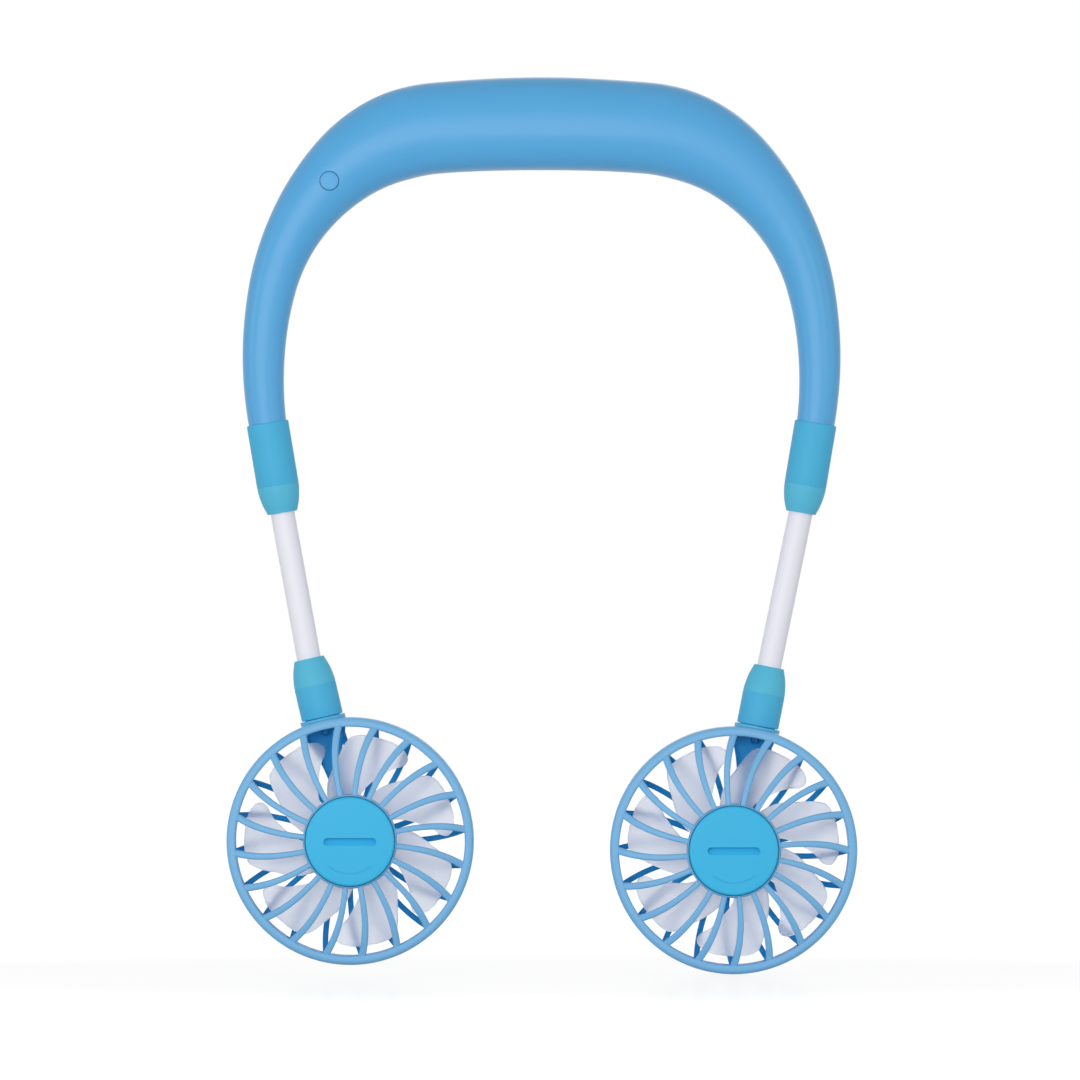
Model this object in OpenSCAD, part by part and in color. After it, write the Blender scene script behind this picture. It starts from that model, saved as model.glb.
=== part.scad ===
// Electric neck fan: a hollow band round the neck with a battery and a board in it, and two
// flexible arms, each ending in a round fan head with an aroma pad under its front cap.
// Millimetres. +Z is up as photographed and the front faces -Y.

/* [Band] */
// Radii of the four tangent arcs of the band's centre line, from top centre to end
band_arc_radii = [404.3, 50.4, 71.6, 116.2]; // [20:0.1:500]
// Turn of each of those arcs in degrees
band_arc_sweeps = [4.7, 35.6, 37.2, 22]; // [1:0.1:60]
// Width of the band seen from the front, at even steps along half of it
band_widths = [
  29.4, 29.3, 29.1, 28.9, 28.8, 28.3, 26.6, 24.3, 21.8,
  19.5, 17.5, 16, 15, 14.2, 13.6, 13, 12.4, 11.9
]; // [8:0.1:40]
// Depth of the band from front to back, at the same steps
band_depths = [
  24.6, 24.6, 24.5, 24.3, 23.8, 23, 21.9, 20.5, 19,
  17.6, 16.4, 15.4, 14.6, 13.9, 13.3, 12.8, 12.3, 11.9
]; // [8:0.1:40]
// Wall of the two shells
band_wall = 1.8; // [1:0.1:3]
// How square the band's section is at the top centre, where 2 is an ellipse
band_squareness = 2.5; // [2:0.1:4]
// Steps of the shells along the band
shell_steps_along = 60; // [20:2:80]
// Steps of the shells round their section
shell_steps_round = 18; // [8:2:30]

/* [Battery] */
// Diameter of the battery cell
battery_diameter = 18.4; // [10:0.1:20]
// Length of the battery cell
battery_length = 65; // [40:0.5:70]
// Drop of the cell below the band's top centre line
battery_drop = 0.6; // [0:0.1:2]
// Diameter of the cell's raised end contact
battery_tip_diameter = 6; // [3:0.1:8]
// Height of the cell's raised end contact
battery_tip_height = 1; // [0.5:0.1:2]
// Distance of each cradle rib from the middle
cradle_station = 23; // [10:0.5:30]
// Thickness of a cradle rib
cradle_rib = 2.4; // [1:0.1:4]
// Height of the cradle
cradle_height = 17; // [10:0.5:22]
// Gap between the cradle and the band
cradle_gap = 0.35; // [0.1:0.05:1]
// Width of the cradle's two rails
cradle_rail = 2; // [1:0.1:4]
// Radius of the battery leads
lead_radius = 0.6; // [0.3:0.05:1]

/* [Board] */
// Place of the board's middle, and of the button, along the left half of the band
board_station = 71.9; // [60:0.1:90]
// Length of the board
board_length = 25; // [15:0.5:30]
// Height of the board
board_height = 12.4; // [8:0.1:14]
// Thickness of the board
board_thickness = 1.2; // [0.8:0.1:2]
// Depth of the board's front face behind the parting plane
board_setback = 1.6; // [0:0.1:4]
// Distance of the board's two posts from its middle
post_station = 10.8; // [5:0.1:14]
// Radius of the board's posts
post_radius = 1.2; // [0.8:0.1:2]
// Side of the square driver chip
chip_side = 4.2; // [2:0.1:6]
// Height of the driver chip
chip_height = 1; // [0.5:0.1:2]
// Distance of the chip and the coil from the board's middle
chip_station = 8; // [5:0.1:10]
// Diameter of the charger coil
coil_diameter = 5; // [3:0.1:6]
// Height of the charger coil
coil_height = 2.6; // [1:0.1:4]
// Side of the square body of the push switch
switch_side = 6; // [4:0.1:7]
// Height of the push switch body
switch_height = 3.4; // [2:0.1:5]
// Diameter of the push switch's own stem
switch_stem_diameter = 3.4; // [2:0.1:4]
// Height of the push switch's own stem
switch_stem_height = 0.9; // [0.5:0.1:2]

/* [Button] */
// Diameter of the power button
button_diameter = 5.7; // [4:0.1:9]
// How far the button stands out of the band
button_proud = 0.35; // [0:0.05:2]
// Gap round the button
button_gap = 0.3; // [0.1:0.05:0.5]
// Gap between the button and the switch's stem
button_play = 0.9; // [0.7:0.05:2]
// Width of the button's inner flange
button_flange_width = 1.1; // [0.5:0.1:2]
// Thickness of the button's inner flange
button_flange = 1; // [0.5:0.1:2]
// Depth of the button's guide below the band's face
guide_depth = 3.1; // [2:0.1:5]
// Wall of the button's guide
guide_wall = 1.4; // [0.8:0.1:2]
// Radius of the button's rounded edge
button_edge = 0.4; // [0.1:0.05:1]

/* [Charge port] */
// Place of the port along the left half of the band
port_station = 77.5; // [70:0.1:90]
// Width of the port's metal shell
port_width = 8.9; // [6:0.1:10]
// Height of the port's metal shell
port_height = 3.3; // [2:0.1:4]
// Wall of the port's metal shell
port_wall = 0.35; // [0.2:0.05:0.6]
// Gap between the port and the band
port_gap = 0.35; // [0.1:0.05:1]
// How far the port's mouth lies below the band's back
port_sink = 0.5; // [0:0.1:2]
// Thickness of the tongue in the port
port_tongue = 0.8; // [0.4:0.1:1.5]
// Width of the tongue in the port
port_tongue_width = 6.2; // [3:0.1:7]
// Place of the charge light along the left half of the band
light_station = 65.5; // [60:0.1:75]
// Diameter of the charge light
light_diameter = 2.4; // [1:0.1:4]

/* [Screws] */
// Places of the two screws along each half of the band
screw_stations = [46, 103.5]; // [36:0.5:140]
// Diameter of the screw shank
screw_diameter = 2; // [1.5:0.1:3]
// Diameter of the screw head
screw_head_diameter = 3.9; // [3:0.1:6]
// Height of the screw head
screw_head_height = 1.4; // [0.8:0.1:3]
// Length of the shank in front of the parting plane
screw_grip = 3.6; // [2:0.1:8]
// Thickness of the rear boss under the screw head
screw_seat = 1.6; // [1:0.1:5]
// Wall of the screw bosses
boss_wall = 0.8; // [0.5:0.1:2]
// Width of the cross slot in a screw head
screw_slot = 0.6; // [0.3:0.1:1]

/* [Sleeves] */
// Radius of the upper sleeve
sleeve_radius = 6.65; // [5:0.05:9]
// Length of the upper sleeve
sleeve_length = 28.7; // [15:0.1:40]
// How far the upper sleeve covers the end of the band
sleeve_cover = 2; // [1:0.1:6]
// Radii of the sleeves' rounded hose end, from shoulder to mouth
sleeve_taper_radii = [6.65, 6.55, 6.35, 6.1, 5.75, 5.25, 4.75]; // [4:0.05:9]
// Length of that rounded end
sleeve_taper = 8.6; // [3:0.1:15]
// Rounding of the sleeves' other rim
sleeve_rim = 0.5; // [0.1:0.05:1]
// Gap between the lower sleeve and the lip on the ring
sleeve_gap = 0.2; // [0.1:0.05:1]
// Length of the sleeve that grips the hose
sleeve_grip = 3; // [1:0.1:8]
// Length of the plug's collar below the end of the band
plug_collar = 5; // [2:0.1:10]
// Length of the plug's spigot in the band
plug_spigot = 3.5; // [2:0.1:6]
// Length of the plug's lower boss
plug_boss = 3.5; // [2:0.1:6]
// Depth that the arm's end goes into the plug
plug_socket = 6; // [2:0.1:8]
// Radius of the wire hole in the plug
wire_hole_radius = 1.5; // [1:0.1:2]

/* [Arms] */
// Free length of the left hose
left_hose_length = 47; // [30:0.1:80]
// Free length of the right hose
right_hose_length = 49.8; // [30:0.1:80]
// Lean of the left hose as photographed, in degrees
left_hose_lean = 10.3; // [0:0.1:30]
// Lean of the right hose as photographed, in degrees
right_hose_lean = 11.6; // [0:0.1:30]
// Lean of the left head's stem as photographed, in degrees
left_stem_lean = 12.85; // [0:0.05:30]
// Lean of the right head's stem as photographed, in degrees
right_stem_lean = 11.05; // [0:0.05:30]
// Outer radius of the hose's soft skin
hose_radius = 3.8; // [3:0.1:6]
// Thickness of the skin
hose_skin = 0.8; // [0.4:0.1:1.5]
// Radius of the metal links in it
link_radius = 2.8; // [2:0.1:4]
// Radius of the links' bore
link_bore = 1.4; // [1:0.1:2]
// Gap between two links
link_gap = 1; // [0.5:0.1:2]
// Height of a link's bevelled end
link_bevel = 0.45; // [0.2:0.05:1]
// Depth of a link's grooves
link_groove = 0.3; // [0.1:0.05:0.6]
// Radius of the cable
cable_radius = 0.8; // [0.5:0.05:1.2]
// Radius of the ferrules
ferrule_radius = 4; // [3:0.1:5]
// Clearance between the upper ferrule and the sleeve's grip on the hose
ferrule_clearance = 0.8; // [0.3:0.1:3]
// Radius of the upper ferrule's flange
ferrule_flange_radius = 4.6; // [4:0.1:5]
// Thickness of that flange
ferrule_flange = 1.5; // [0.5:0.1:3]

/* [Stem] */
// Distance from a head's ring to the hose end of its lower sleeve
stem_reach = 19.95; // [12:0.05:40]
// Radius of the stem's neck
neck_radius = 5.6; // [4:0.1:8]
// How far the neck's inner end is inside the ring
neck_inset = 2.85; // [1:0.05:6]
// Clearance between the neck's outer end and the sleeve's grip on the hose
neck_clearance = 1.7; // [0.5:0.1:5]
// Radius of the neck's bore
neck_bore = 4.25; // [3:0.05:5]
// Thickness of the neck's two end lips
neck_lip = 0.9; // [0.5:0.1:2]
// Radius of the opening in the neck's outer lip
neck_mouth = 3.75; // [3:0.05:5]
// Radius of the lip that rests on the ring
lip_radius = 7.2; // [6:0.1:10]
// Height of that lip above the ring
lip_height = 0.75; // [0.3:0.05:3]
// Radius of the turning ferrule's waist
waist_radius = 3.6; // [2:0.1:5]
// Radius of the turning ferrule's upper flange
turn_flange_radius = 5.1; // [4:0.1:6]
// Thickness of that flange
turn_flange = 1.2; // [0.5:0.1:3]

/* [Head ring] */
// Outer radius of a head
ring_radius = 39.05; // [30:0.05:50]
// Width of the ring's rolled front
ring_roll = 2.9; // [2.5:0.05:6]
// Wall of the ring
ring_wall = 1.65; // [1:0.05:3]
// Height of the ring in front of its parting plane
ring_front = 11; // [5:0.1:20]
// Depth of the ring behind its parting plane
ring_back = 9.5; // [5:0.1:20]
// Thickness of the ring's front lip
ring_lip = 3; // [1:0.1:5]
// Rounding of the ring's front edge
ring_edge = 2.1; // [0.5:0.1:3]
// Height of the rear ring's tongue inside the front ring
tongue_height = 3.4; // [1:0.1:6]
// Wall of that tongue
tongue_wall = 1; // [0.5:0.1:2]

/* [Guards] */
// Ribs on each guard
rib_count = 20; // [8:1:40]
// Degrees by which a rib's outer end is ahead of its inner end
rib_sweep = 6.75; // [0:0.25:30]
// Degrees from the stem to the nearest front rib's outer end
rib_phase = 7.25; // [0:0.25:18]
// How the sweep grows outwards, where 1 is even
rib_curve = 1.9; // [1:0.1:3]
// Width of a front rib at the hub and at the ring
rib_widths = [1.7, 2.3]; // [0.8:0.1:4]
// Depth of a rib from front to back
rib_depth = 2.6; // [1:0.1:4]
// Heights of the front ribs' crest above the parting plane, from hub to ring
crest_heights = [15, 14.7, 14, 12.8, 10.6]; // [5:0.1:20]
// Radius of the front hub
hub_radius = 14.9; // [10:0.1:20]
// Radius of the pocket in the front hub
hub_pocket = 14.3; // [10:0.1:20]
// Height of the front hub's rim
hub_rim = 15.5; // [10:0.1:20]
// Height of the front hub's underside
hub_underside = 9; // [7:0.1:14]
// Thickness of the front hub's floor
hub_floor = 1.2; // [0.8:0.1:3]
// Width of a rear rib
rear_rib_width = 1.8; // [0.8:0.1:3]
// Depth of a rear rib
rear_rib_depth = 2.2; // [1:0.1:4]
// Depths of the rear ribs' crest behind the parting plane, from cup to ring
rear_crest_depths = [12.6, 12.3, 11.7, 10.8, 9.5]; // [5:0.1:20]
// Outer radius of the motor cup
cup_radius = 11.2; // [9:0.1:15]
// Depth of the motor cup's flat back behind the parting plane
cup_back = 14.6; // [10:0.1:20]
// Depth of the motor cup's front edge behind the parting plane
cup_front = 6.6; // [4:0.1:12]
// Thickness of the motor cup's floor
cup_floor = 1.2; // [0.8:0.1:3]
// Half widths of the rear strut, from the ring inwards
strut_half_widths = [6.6, 6.3, 5.9, 5.1, 4.2, 3.4, 2.9, 2.6, 2.5, 2.5]; // [1:0.1:8]
// How far out these widths are, from the motor cup at 0 to the ring at 1
strut_shares = [1, 0.94, 0.89, 0.82, 0.74, 0.67, 0.6, 0.52, 0.42, 0]; // [0:0.01:1]
// Depth of the strut's front and back behind the parting plane
strut_depths = [6.3, 10.2]; // [4:0.1:14]
// Width of the wire channel in the strut
groove_width = 2.2; // [1:0.1:3]
// Height of that channel
groove_depth = 2; // [1:0.1:3]
// Thickness of the strut in front of the channel
groove_cover = 0.9; // [0.5:0.1:2]
// Length of the channel that is open to the front, from the neck inwards
groove_mouth = 4; // [2:0.1:10]

/* [Impeller] */
// Blades of the impeller
blade_count = 7; // [3:1:11]
// How far out a blade's outline is, from foot 0 to tip 1, up its trailing and down its leading side
blade_shares = [
  0, 0.136, 0.324, 0.478, 0.63, 0.846, 0.943, 0.984, 1,
  1, 0.98, 0.933, 0.86, 0.759, 0.63, 0.414, 0.237, 0.136, 0
]; // [0:0.001:1]
// Degrees clockwise that go with those shares
blade_angles = [
  -21.5, -17.25, -11, -4.6, 1.5, 7.75, 11, 14.5, 19,
  36, 41.5, 45.5, 47.6, 46.6, 41.25, 34, 27, 24, 20
]; // [-60:0.25:60]
// Degrees from a blade's foot to its middle line
blade_middle = 17; // [0:1:40]
// Pitch of a blade in degrees
blade_pitch = 23; // [10:1:45]
// Radius of a blade's hollow
blade_camber = 48; // [20:1:200]
// Degrees past a blade's middle at which its leading side starts to curl back level
blade_curl_start = 11; // [5:0.5:20]
// Radius of that curl
blade_curl_radius = 11; // [4:0.5:30]
// Thickness of a blade
blade_thickness = 1.2; // [0.6:0.1:2]
// Gap between the blades' tips and the ring's opening
blade_tip_gap = 2.5; // [1:0.1:5]
// Depth of a blade's foot in the hub
blade_root = 0.4; // [0.2:0.1:1]
// Height of a blade's middle above the parting plane
blade_height = 1.9; // [-3:0.1:5]
// Outer radius of the impeller's hub
spinner_radius = 12.3; // [8:0.1:16]
// Inner radius of the impeller's hub
spinner_bore = 10.7; // [8:0.1:15]
// Height of the hub's front
spinner_front = 7.5; // [4:0.1:10]
// Depth of the hub's back behind the parting plane
spinner_back = 5.4; // [3:0.1:8]
// Thickness of the hub's front plate
spinner_plate = 2; // [1:0.1:4]
// Radius of the hub's inner boss
spinner_boss_radius = 2.4; // [1.5:0.1:5]
// Height of that boss
spinner_boss = 0.9; // [0.5:0.1:3]
// Degrees by which the left impeller is turned as photographed
left_fan_angle = 52.6; // [0:0.1:360]
// Degrees by which the right impeller is turned as photographed
right_fan_angle = 40.7; // [0:0.1:360]

/* [Motor] */
// Radius of the motor
motor_radius = 9.5; // [6:0.1:12]
// Depth of the motor's back behind the parting plane
motor_back = 13.2; // [8:0.1:20]
// Height of the motor's front
motor_front = 3; // [0:0.1:5]
// Wall of the motor's can
motor_wall = 0.9; // [0.5:0.1:2]
// Radius of the motor's front bearing boss
bearing_radius = 2.8; // [1.5:0.1:5]
// Height of that boss
bearing_height = 0.6; // [0.3:0.1:2]
// Radius of the motor shaft
shaft_radius = 1; // [0.5:0.05:2]
// Height of the shaft's front end
shaft_front = 7.2; // [5:0.1:9]
// Radius of the rotor
rotor_radius = 7.4; // [4:0.1:8.4]
// Length of the rotor
rotor_length = 11; // [5:0.1:14]

/* [Front cap and aroma pad] */
// Radius of the cap
cap_radius = 14.1; // [8:0.05:20]
// Heights of the cap's back and front
cap_heights = [13.7, 16.4]; // [10:0.1:20]
// Rounding of the cap's edge
cap_edge = 0.6; // [0.1:0.05:1.5]
// Length of the coin slot
slot_length = 16.6; // [8:0.1:22]
// Width of the coin slot
slot_width = 2.4; // [1:0.1:3]
// Depth of the coin slot
slot_depth = 1.2; // [0.5:0.1:2]
// Drop of the coin slot below the cap's middle
slot_drop = 0.1; // [0:0.05:2]
// Radius of the engraved arc
arc_radius = 10.2; // [5:0.1:13]
// Width of the engraved arc
arc_width = 0.5; // [0.2:0.05:1]
// Depth of the engraved arc
arc_depth = 0.3; // [0.1:0.05:0.6]
// Half the angle of the engraved arc
arc_half_angle = 40; // [10:1:80]
// Radius of the cap's pivot pin
pivot_radius = 1.6; // [1:0.1:3]
// Length of the pivot pin
pivot_length = 2; // [1:0.1:3]
// Radius of the tray
tray_radius = 13.9; // [8:0.1:20]
// Wall of the tray
tray_wall = 1; // [0.5:0.1:2]
// Height of the tray
tray_height = 3.2; // [2:0.1:5]
// Thickness of the tray's floor
tray_floor = 0.9; // [0.5:0.1:2]
// Radius of the tray's middle boss
tray_boss_radius = 3; // [2:0.1:5]
// Vent holes in the tray and in the hub's floor
vent_count = 8; // [4:1:12]
// Radius of a vent hole
vent_radius = 1.4; // [0.8:0.1:2]
// Distance of the vent holes from the middle
vent_station = 8.4; // [5:0.1:11]
// Thickness of the aroma pad
pad_thickness = 2; // [1:0.1:3]

/* [Fits] */
// Gap between parts that fit together
fit_gap = 0.1; // [0.05:0.01:0.3]
// Gap round the shaft
shaft_gap = 0.02; // [0.01:0.01:0.1]
// Gap round the shaft's end bearings
bearing_gap = 0.2; // [0.1:0.05:0.5]

/* [Hidden] */
SIDE_NODES = [
  "end_plug", "upper_sleeve", "upper_ferrule", "band_cable",
  "hose_link_1", "hose_link_2", "hose_link_3", "hose_link_4", "hose_link_5",
  "hose_skin", "hose_cable", "lower_ferrule", "lower_sleeve", "stem_socket",
  "front_guard", "rear_guard", "head_cable", "motor_can", "motor_shaft", "impeller",
  "pad_tray", "aroma_pad", "aroma_cap"
];
$fn = 64;

BAND_BLUE = [0.33, 0.68, 0.86];
SLEEVE_BLUE = [0.3, 0.66, 0.82];
HOSE_WHITE = [0.92, 0.92, 0.95];
RING_BLUE = [0.42, 0.67, 0.87];
DEEP_BLUE = [0.08, 0.42, 0.63];
BLADE_WHITE = [0.78, 0.83, 0.9];
CAP_CYAN = [0.25, 0.71, 0.87];
STEEL = [0.62, 0.63, 0.65];
BRASS = [0.72, 0.58, 0.32];
PAD_CREAM = [0.93, 0.91, 0.84];
BOARD_GREEN = [0.08, 0.36, 0.2];
BLACK = [0.08, 0.08, 0.09];
CELL_GREEN = [0.2, 0.5, 0.45];

LEFT = -1;
RIGHT = 1;
link_count = 6;
sleeve_mouth = sleeve_cover - sleeve_length;
slab = 2 * ring_radius;
stem_length = ring_radius + stem_reach;
neck_start = ring_radius - neck_inset;
neck_end = stem_length - 2 * sleeve_grip - neck_clearance;
ring_opening = ring_radius - ring_roll;
strut_foot = cup_radius - ring_wall / 2;
strut_head = ring_radius - ring_wall - tongue_wall / 2;
groove_middle = -strut_depths[0] - groove_cover - groove_depth / 2;
blade_foot = spinner_radius - blade_root;
blade_tip = ring_opening - blade_tip_gap;
half_length = arc_length(0) + arc_length(1) + arc_length(2) + arc_length(3);
end_lean = arc_start(4) - 90;
end_radius = band_widths[len(band_widths) - 1] / 2;
left_drop = chain_drop(LEFT);
right_drop = chain_drop(RIGHT);
top_height = ring_radius + max(left_drop, right_drop);
button_face = -band_half_depth(board_station) - button_proud;
board_back = board_setback + board_thickness;
switch_tip = board_setback - switch_height - switch_stem_height;
motor_boss_front = motor_front + bearing_height;

function arc_start(i) = i == 0 ? 0 : arc_start(i - 1) + band_arc_sweeps[i - 1];
function arc_length(i) = band_arc_radii[i] * band_arc_sweeps[i] * PI / 180;
function arc_move(i, turn) =
  let (a = arc_start(i), r = band_arc_radii[i])
  [r * (sin(a + turn) - sin(a)), r * (cos(a + turn) - cos(a))];
function arc_origin(i) =
  i == 0 ? [0, 0] : arc_origin(i - 1) + arc_move(i - 1, band_arc_sweeps[i - 1]);

// Place [across, up, turn] on the right half's centre line, up being from the top centre
function spine(s, i = 0) =
  i < 3 && s > arc_length(i)
  ? spine(s - arc_length(i), i + 1)
  : let (turn = s / band_arc_radii[i] * 180 / PI, p = arc_origin(i) + arc_move(i, turn))
    [p[0], p[1], arc_start(i) + turn];

function read_table(table, share) =
  let (n = len(table) - 1, u = max(0, min(1, share)) * n, i = min(floor(u), n - 1))
  table[i] + (table[i + 1] - table[i]) * (u - i);
function band_half_width(s) = read_table(band_widths, s / half_length) / 2;
function band_half_depth(s) = read_table(band_depths, s / half_length) / 2;
function lobe(v, n) = sign(v) * pow(abs(v), 2 / n);

// A point on the band's section at s along it, negative on the left, turned from its outer edge
function band_point(s, inset, turn) =
  let (
    a = abs(s),
    p = spine(a),
    n = band_squareness + (2 - band_squareness) * a / half_length,
    c = lobe(cos(turn), n) * (band_half_width(a) - inset),
    d = lobe(sin(turn), n) * (band_half_depth(a) - inset)
  )
  [(s < 0 ? -1 : 1) * (p[0] + sin(p[2]) * c), -d, top_height + p[1] + cos(p[2]) * c];

function band_inner(s) = band_half_width(abs(s)) - band_wall;

// A point beside the centre line, at s along the band
function beside(s, across, depth) =
  let (p = spine(abs(s)))
  [(s < 0 ? -1 : 1) * (p[0] + sin(p[2]) * across), depth, top_height + p[1] + cos(p[2]) * across];

function hose_length(side) = side < 0 ? left_hose_length : right_hose_length;
function hose_lean(side) = side < 0 ? left_hose_lean : right_hose_lean;
function stem_lean(side) = side < 0 ? left_stem_lean : right_stem_lean;
function fan_angle(side) = side < 0 ? left_fan_angle : right_fan_angle;
function chain_drop(side) =
  -spine(half_length)[1] - sleeve_mouth * cos(end_lean)
  + hose_length(side) * cos(hose_lean(side)) + stem_length * cos(stem_lean(side));
function band_end(side) =
  let (p = spine(half_length)) [side * p[0], 0, top_height + p[1]];
function hose_top(side) =
  band_end(side) + sleeve_mouth * [side * sin(end_lean), 0, cos(end_lean)];
function hose_bottom(side) =
  hose_top(side) - hose_length(side) * [side * sin(hose_lean(side)), 0, cos(hose_lean(side))];
function head_middle(side) =
  hose_bottom(side) - stem_length * [side * sin(stem_lean(side)), 0, cos(stem_lean(side))];

function clockwise(r, a) = [r * sin(a), r * cos(a)];
function rib_angle(r, inner, outer) =
  rib_sweep * pow(max(0, (r - inner) / (outer - inner)), rib_curve);
function unit(v) = v / norm(v);
function reversed(list) = [for (i = [len(list) - 1:-1:0]) list[i]];

// Every half shell and wire below is drawn as one of these two meshes
module half_shell() {
  along = shell_steps_along;
  round = shell_steps_round;
  points = [
    for (inset = [0, band_wall], i = [0:along], j = [0:round])
      band_point((2 * i / along - 1) * half_length, inset, 180 * j / round)
  ];
  w = round + 1;
  k = (along + 1) * w;
  polyhedron(points, concat(
    [for (i = [0:along - 1], j = [0:round - 1]) each split_quad(
      i * w + j, i * w + w + j, i * w + w + j + 1, i * w + j + 1)],
    [for (i = [0:along - 1], j = [0:round - 1]) each split_quad(
      k + i * w + j, k + i * w + j + 1, k + i * w + w + j + 1, k + i * w + w + j)],
    [for (i = [0:along - 1]) each split_quad(
      i * w, k + i * w, k + i * w + w, i * w + w)],
    [for (i = [0:along - 1]) each split_quad(
      i * w + round, i * w + w + round, k + i * w + w + round, k + i * w + round)],
    [for (j = [0:round - 1]) each split_quad(
      j, j + 1, k + j + 1, k + j)],
    [for (j = [0:round - 1]) each split_quad(
      along * w + j, k + along * w + j, k + along * w + j + 1, along * w + j + 1)]
  ), convexity = 6);
}

function split_quad(a, b, c, d) = [[a, b, c], [a, c, d]];

module wire(path, radius, aside, sides = 10) {
  n = len(path);
  points = [
    for (i = [0:n - 1])
      let (
        t = unit(path[min(i + 1, n - 1)] - path[max(i - 1, 0)]),
        u = unit(cross(t, aside)),
        v = cross(u, t)
      )
      for (j = [0:sides - 1])
        path[i] + radius * (cos(360 * j / sides) * u + sin(360 * j / sides) * v)
  ];
  polyhedron(points, concat(
    [[for (j = [0:sides - 1]) sides - 1 - j]],
    [[for (j = [0:sides - 1]) (n - 1) * sides + j]],
    [for (i = [0:n - 2], j = [0:sides - 1])
      let (m = (j + 1) % sides)
      each split_quad(i * sides + j, i * sides + m, i * sides + sides + m, i * sides + sides + j)]
  ), convexity = 6);
}

// A hollow sleeve along a path in the plane of the band
module pipe(path, outer, inner, sides = 32) {
  n = len(path);
  points = [
    for (r = [outer, inner], i = [0:n - 1])
      let (
        t = unit(path[min(i + 1, n - 1)] - path[max(i - 1, 0)]),
        u = unit(cross(t, [0, 1, 0])),
        v = cross(u, t)
      )
      for (j = [0:sides - 1])
        path[i] + r * (cos(360 * j / sides) * u + sin(360 * j / sides) * v)
  ];
  k = n * sides;
  polyhedron(points, concat(
    [for (j = [0:sides - 1])
      let (m = (j + 1) % sides)
      each split_quad(j, k + j, k + m, m)],
    [for (j = [0:sides - 1])
      let (m = (j + 1) % sides, a = (n - 1) * sides)
      each split_quad(a + j, a + m, k + a + m, k + a + j)],
    [for (i = [0:n - 2], j = [0:sides - 1])
      let (m = (j + 1) % sides)
      each split_quad(i * sides + j, i * sides + m, i * sides + sides + m, i * sides + sides + j)],
    [for (i = [0:n - 2], j = [0:sides - 1])
      let (m = (j + 1) % sides, a = k + i * sides)
      each split_quad(a + j, a + sides + j, a + sides + m, a + m)]
  ), convexity = 6);
}

module revolve(outline) {
  rotate_extrude()
    polygon(outline);
}

// Frames: the band at s along it, the band's end, the hose, the stem, and a head's own front
module on_band(s, side) {
  p = spine(s);
  translate([side * p[0], 0, top_height + p[1]])
    rotate([0, side * p[2], 0])
      children();
}

module on_end(side) {
  translate(band_end(side))
    rotate([0, side * end_lean, 0])
      children();
}

module on_hose(side) {
  translate(hose_top(side))
    rotate([0, side * hose_lean(side), 0])
      children();
}

module on_stem(side) {
  translate(head_middle(side))
    rotate([0, side * stem_lean(side), 0])
      children();
}

module facing_front() {
  rotate([90, 0, 0])
    children();
}

module on_head(side) {
  on_stem(side)
    facing_front()
      children();
}

// Band
module at_screws() {
  for (side = [LEFT, RIGHT], s = screw_stations)
    on_band(s, side)
      facing_front()
        children();
}

module screw_posts(front) {
  r = front ? screw_diameter / 2 + boss_wall + fit_gap : screw_head_diameter / 2 + boss_wall;
  for (side = [LEFT, RIGHT], s = screw_stations)
    on_band(s, side)
      facing_front()
        translate([0, 0, front ? 0 : -band_half_depth(s) + band_wall / 2])
          cylinder(r = r, h = band_half_depth(s) - band_wall / 2);
}

module band_front_shell() {
  color(BAND_BLUE)
  difference() {
    union() {
      half_shell();
      screw_posts(true);
      on_band(board_station, LEFT)
        facing_front()
          translate([0, 0, band_half_depth(board_station) - guide_depth])
            cylinder(
              r = button_diameter / 2 + button_gap + guide_wall,
              h = guide_depth - band_wall / 2
            );
    }
    at_screws()
      translate([0, 0, -slab])
        cylinder(r = screw_diameter / 2 + shaft_gap, h = slab + screw_grip + fit_gap);
    on_band(board_station, LEFT)
      facing_front()
        translate([0, 0, board_setback])
          cylinder(r = button_diameter / 2 + button_gap, h = slab);
  }
}

module rounded_slot(width, height, depth) {
  linear_extrude(depth)
    union() {
      square([width - height, height], center = true);
      for (e = [-1, 1])
        translate([e * (width - height) / 2, 0])
          circle(d = height);
    }
}

module band_rear_shell() {
  color(BAND_BLUE)
  difference() {
    union() {
      mirror([0, 1, 0])
        half_shell();
      screw_posts(false);
      for (e = [-1, 1])
        on_band(board_station, LEFT)
          rotate([-90, 0, 0])
            translate([e * post_station, 0, board_back])
              cylinder(
                r = post_radius,
                h = band_half_depth(board_station - e * post_station) - band_wall / 2 - board_back
              );
    }
    at_screws()
      translate([0, 0, -slab])
        cylinder(r = screw_head_diameter / 2 + fit_gap, h = slab - screw_seat);
    at_screws()
      translate([0, 0, -slab])
        cylinder(r = screw_diameter / 2 + fit_gap, h = 2 * slab);
    on_band(port_station, LEFT)
      rotate([-90, 0, 0])
        translate([0, 0, board_back])
          rounded_slot(port_width + 2 * port_gap, port_height + 2 * port_gap, slab);
    on_band(light_station, LEFT)
      rotate([-90, 0, 0])
        translate([0, 0, board_back])
          cylinder(d = light_diameter + 2 * fit_gap, h = slab);
  }
}

module band_screws() {
  color(STEEL)
  at_screws()
    difference() {
      union() {
        translate([0, 0, -screw_seat])
          cylinder(d = screw_diameter, h = screw_seat + screw_grip);
        translate([0, 0, -screw_seat - screw_head_height])
          cylinder(d = screw_head_diameter, h = screw_head_height);
      }
      for (turn = [0, 90])
        rotate([0, 0, turn])
          translate([0, 0, -screw_seat - screw_head_height])
            cube(
              [screw_head_diameter * 0.7, screw_slot, screw_head_height],
              center = true
            );
    }
}

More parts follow.
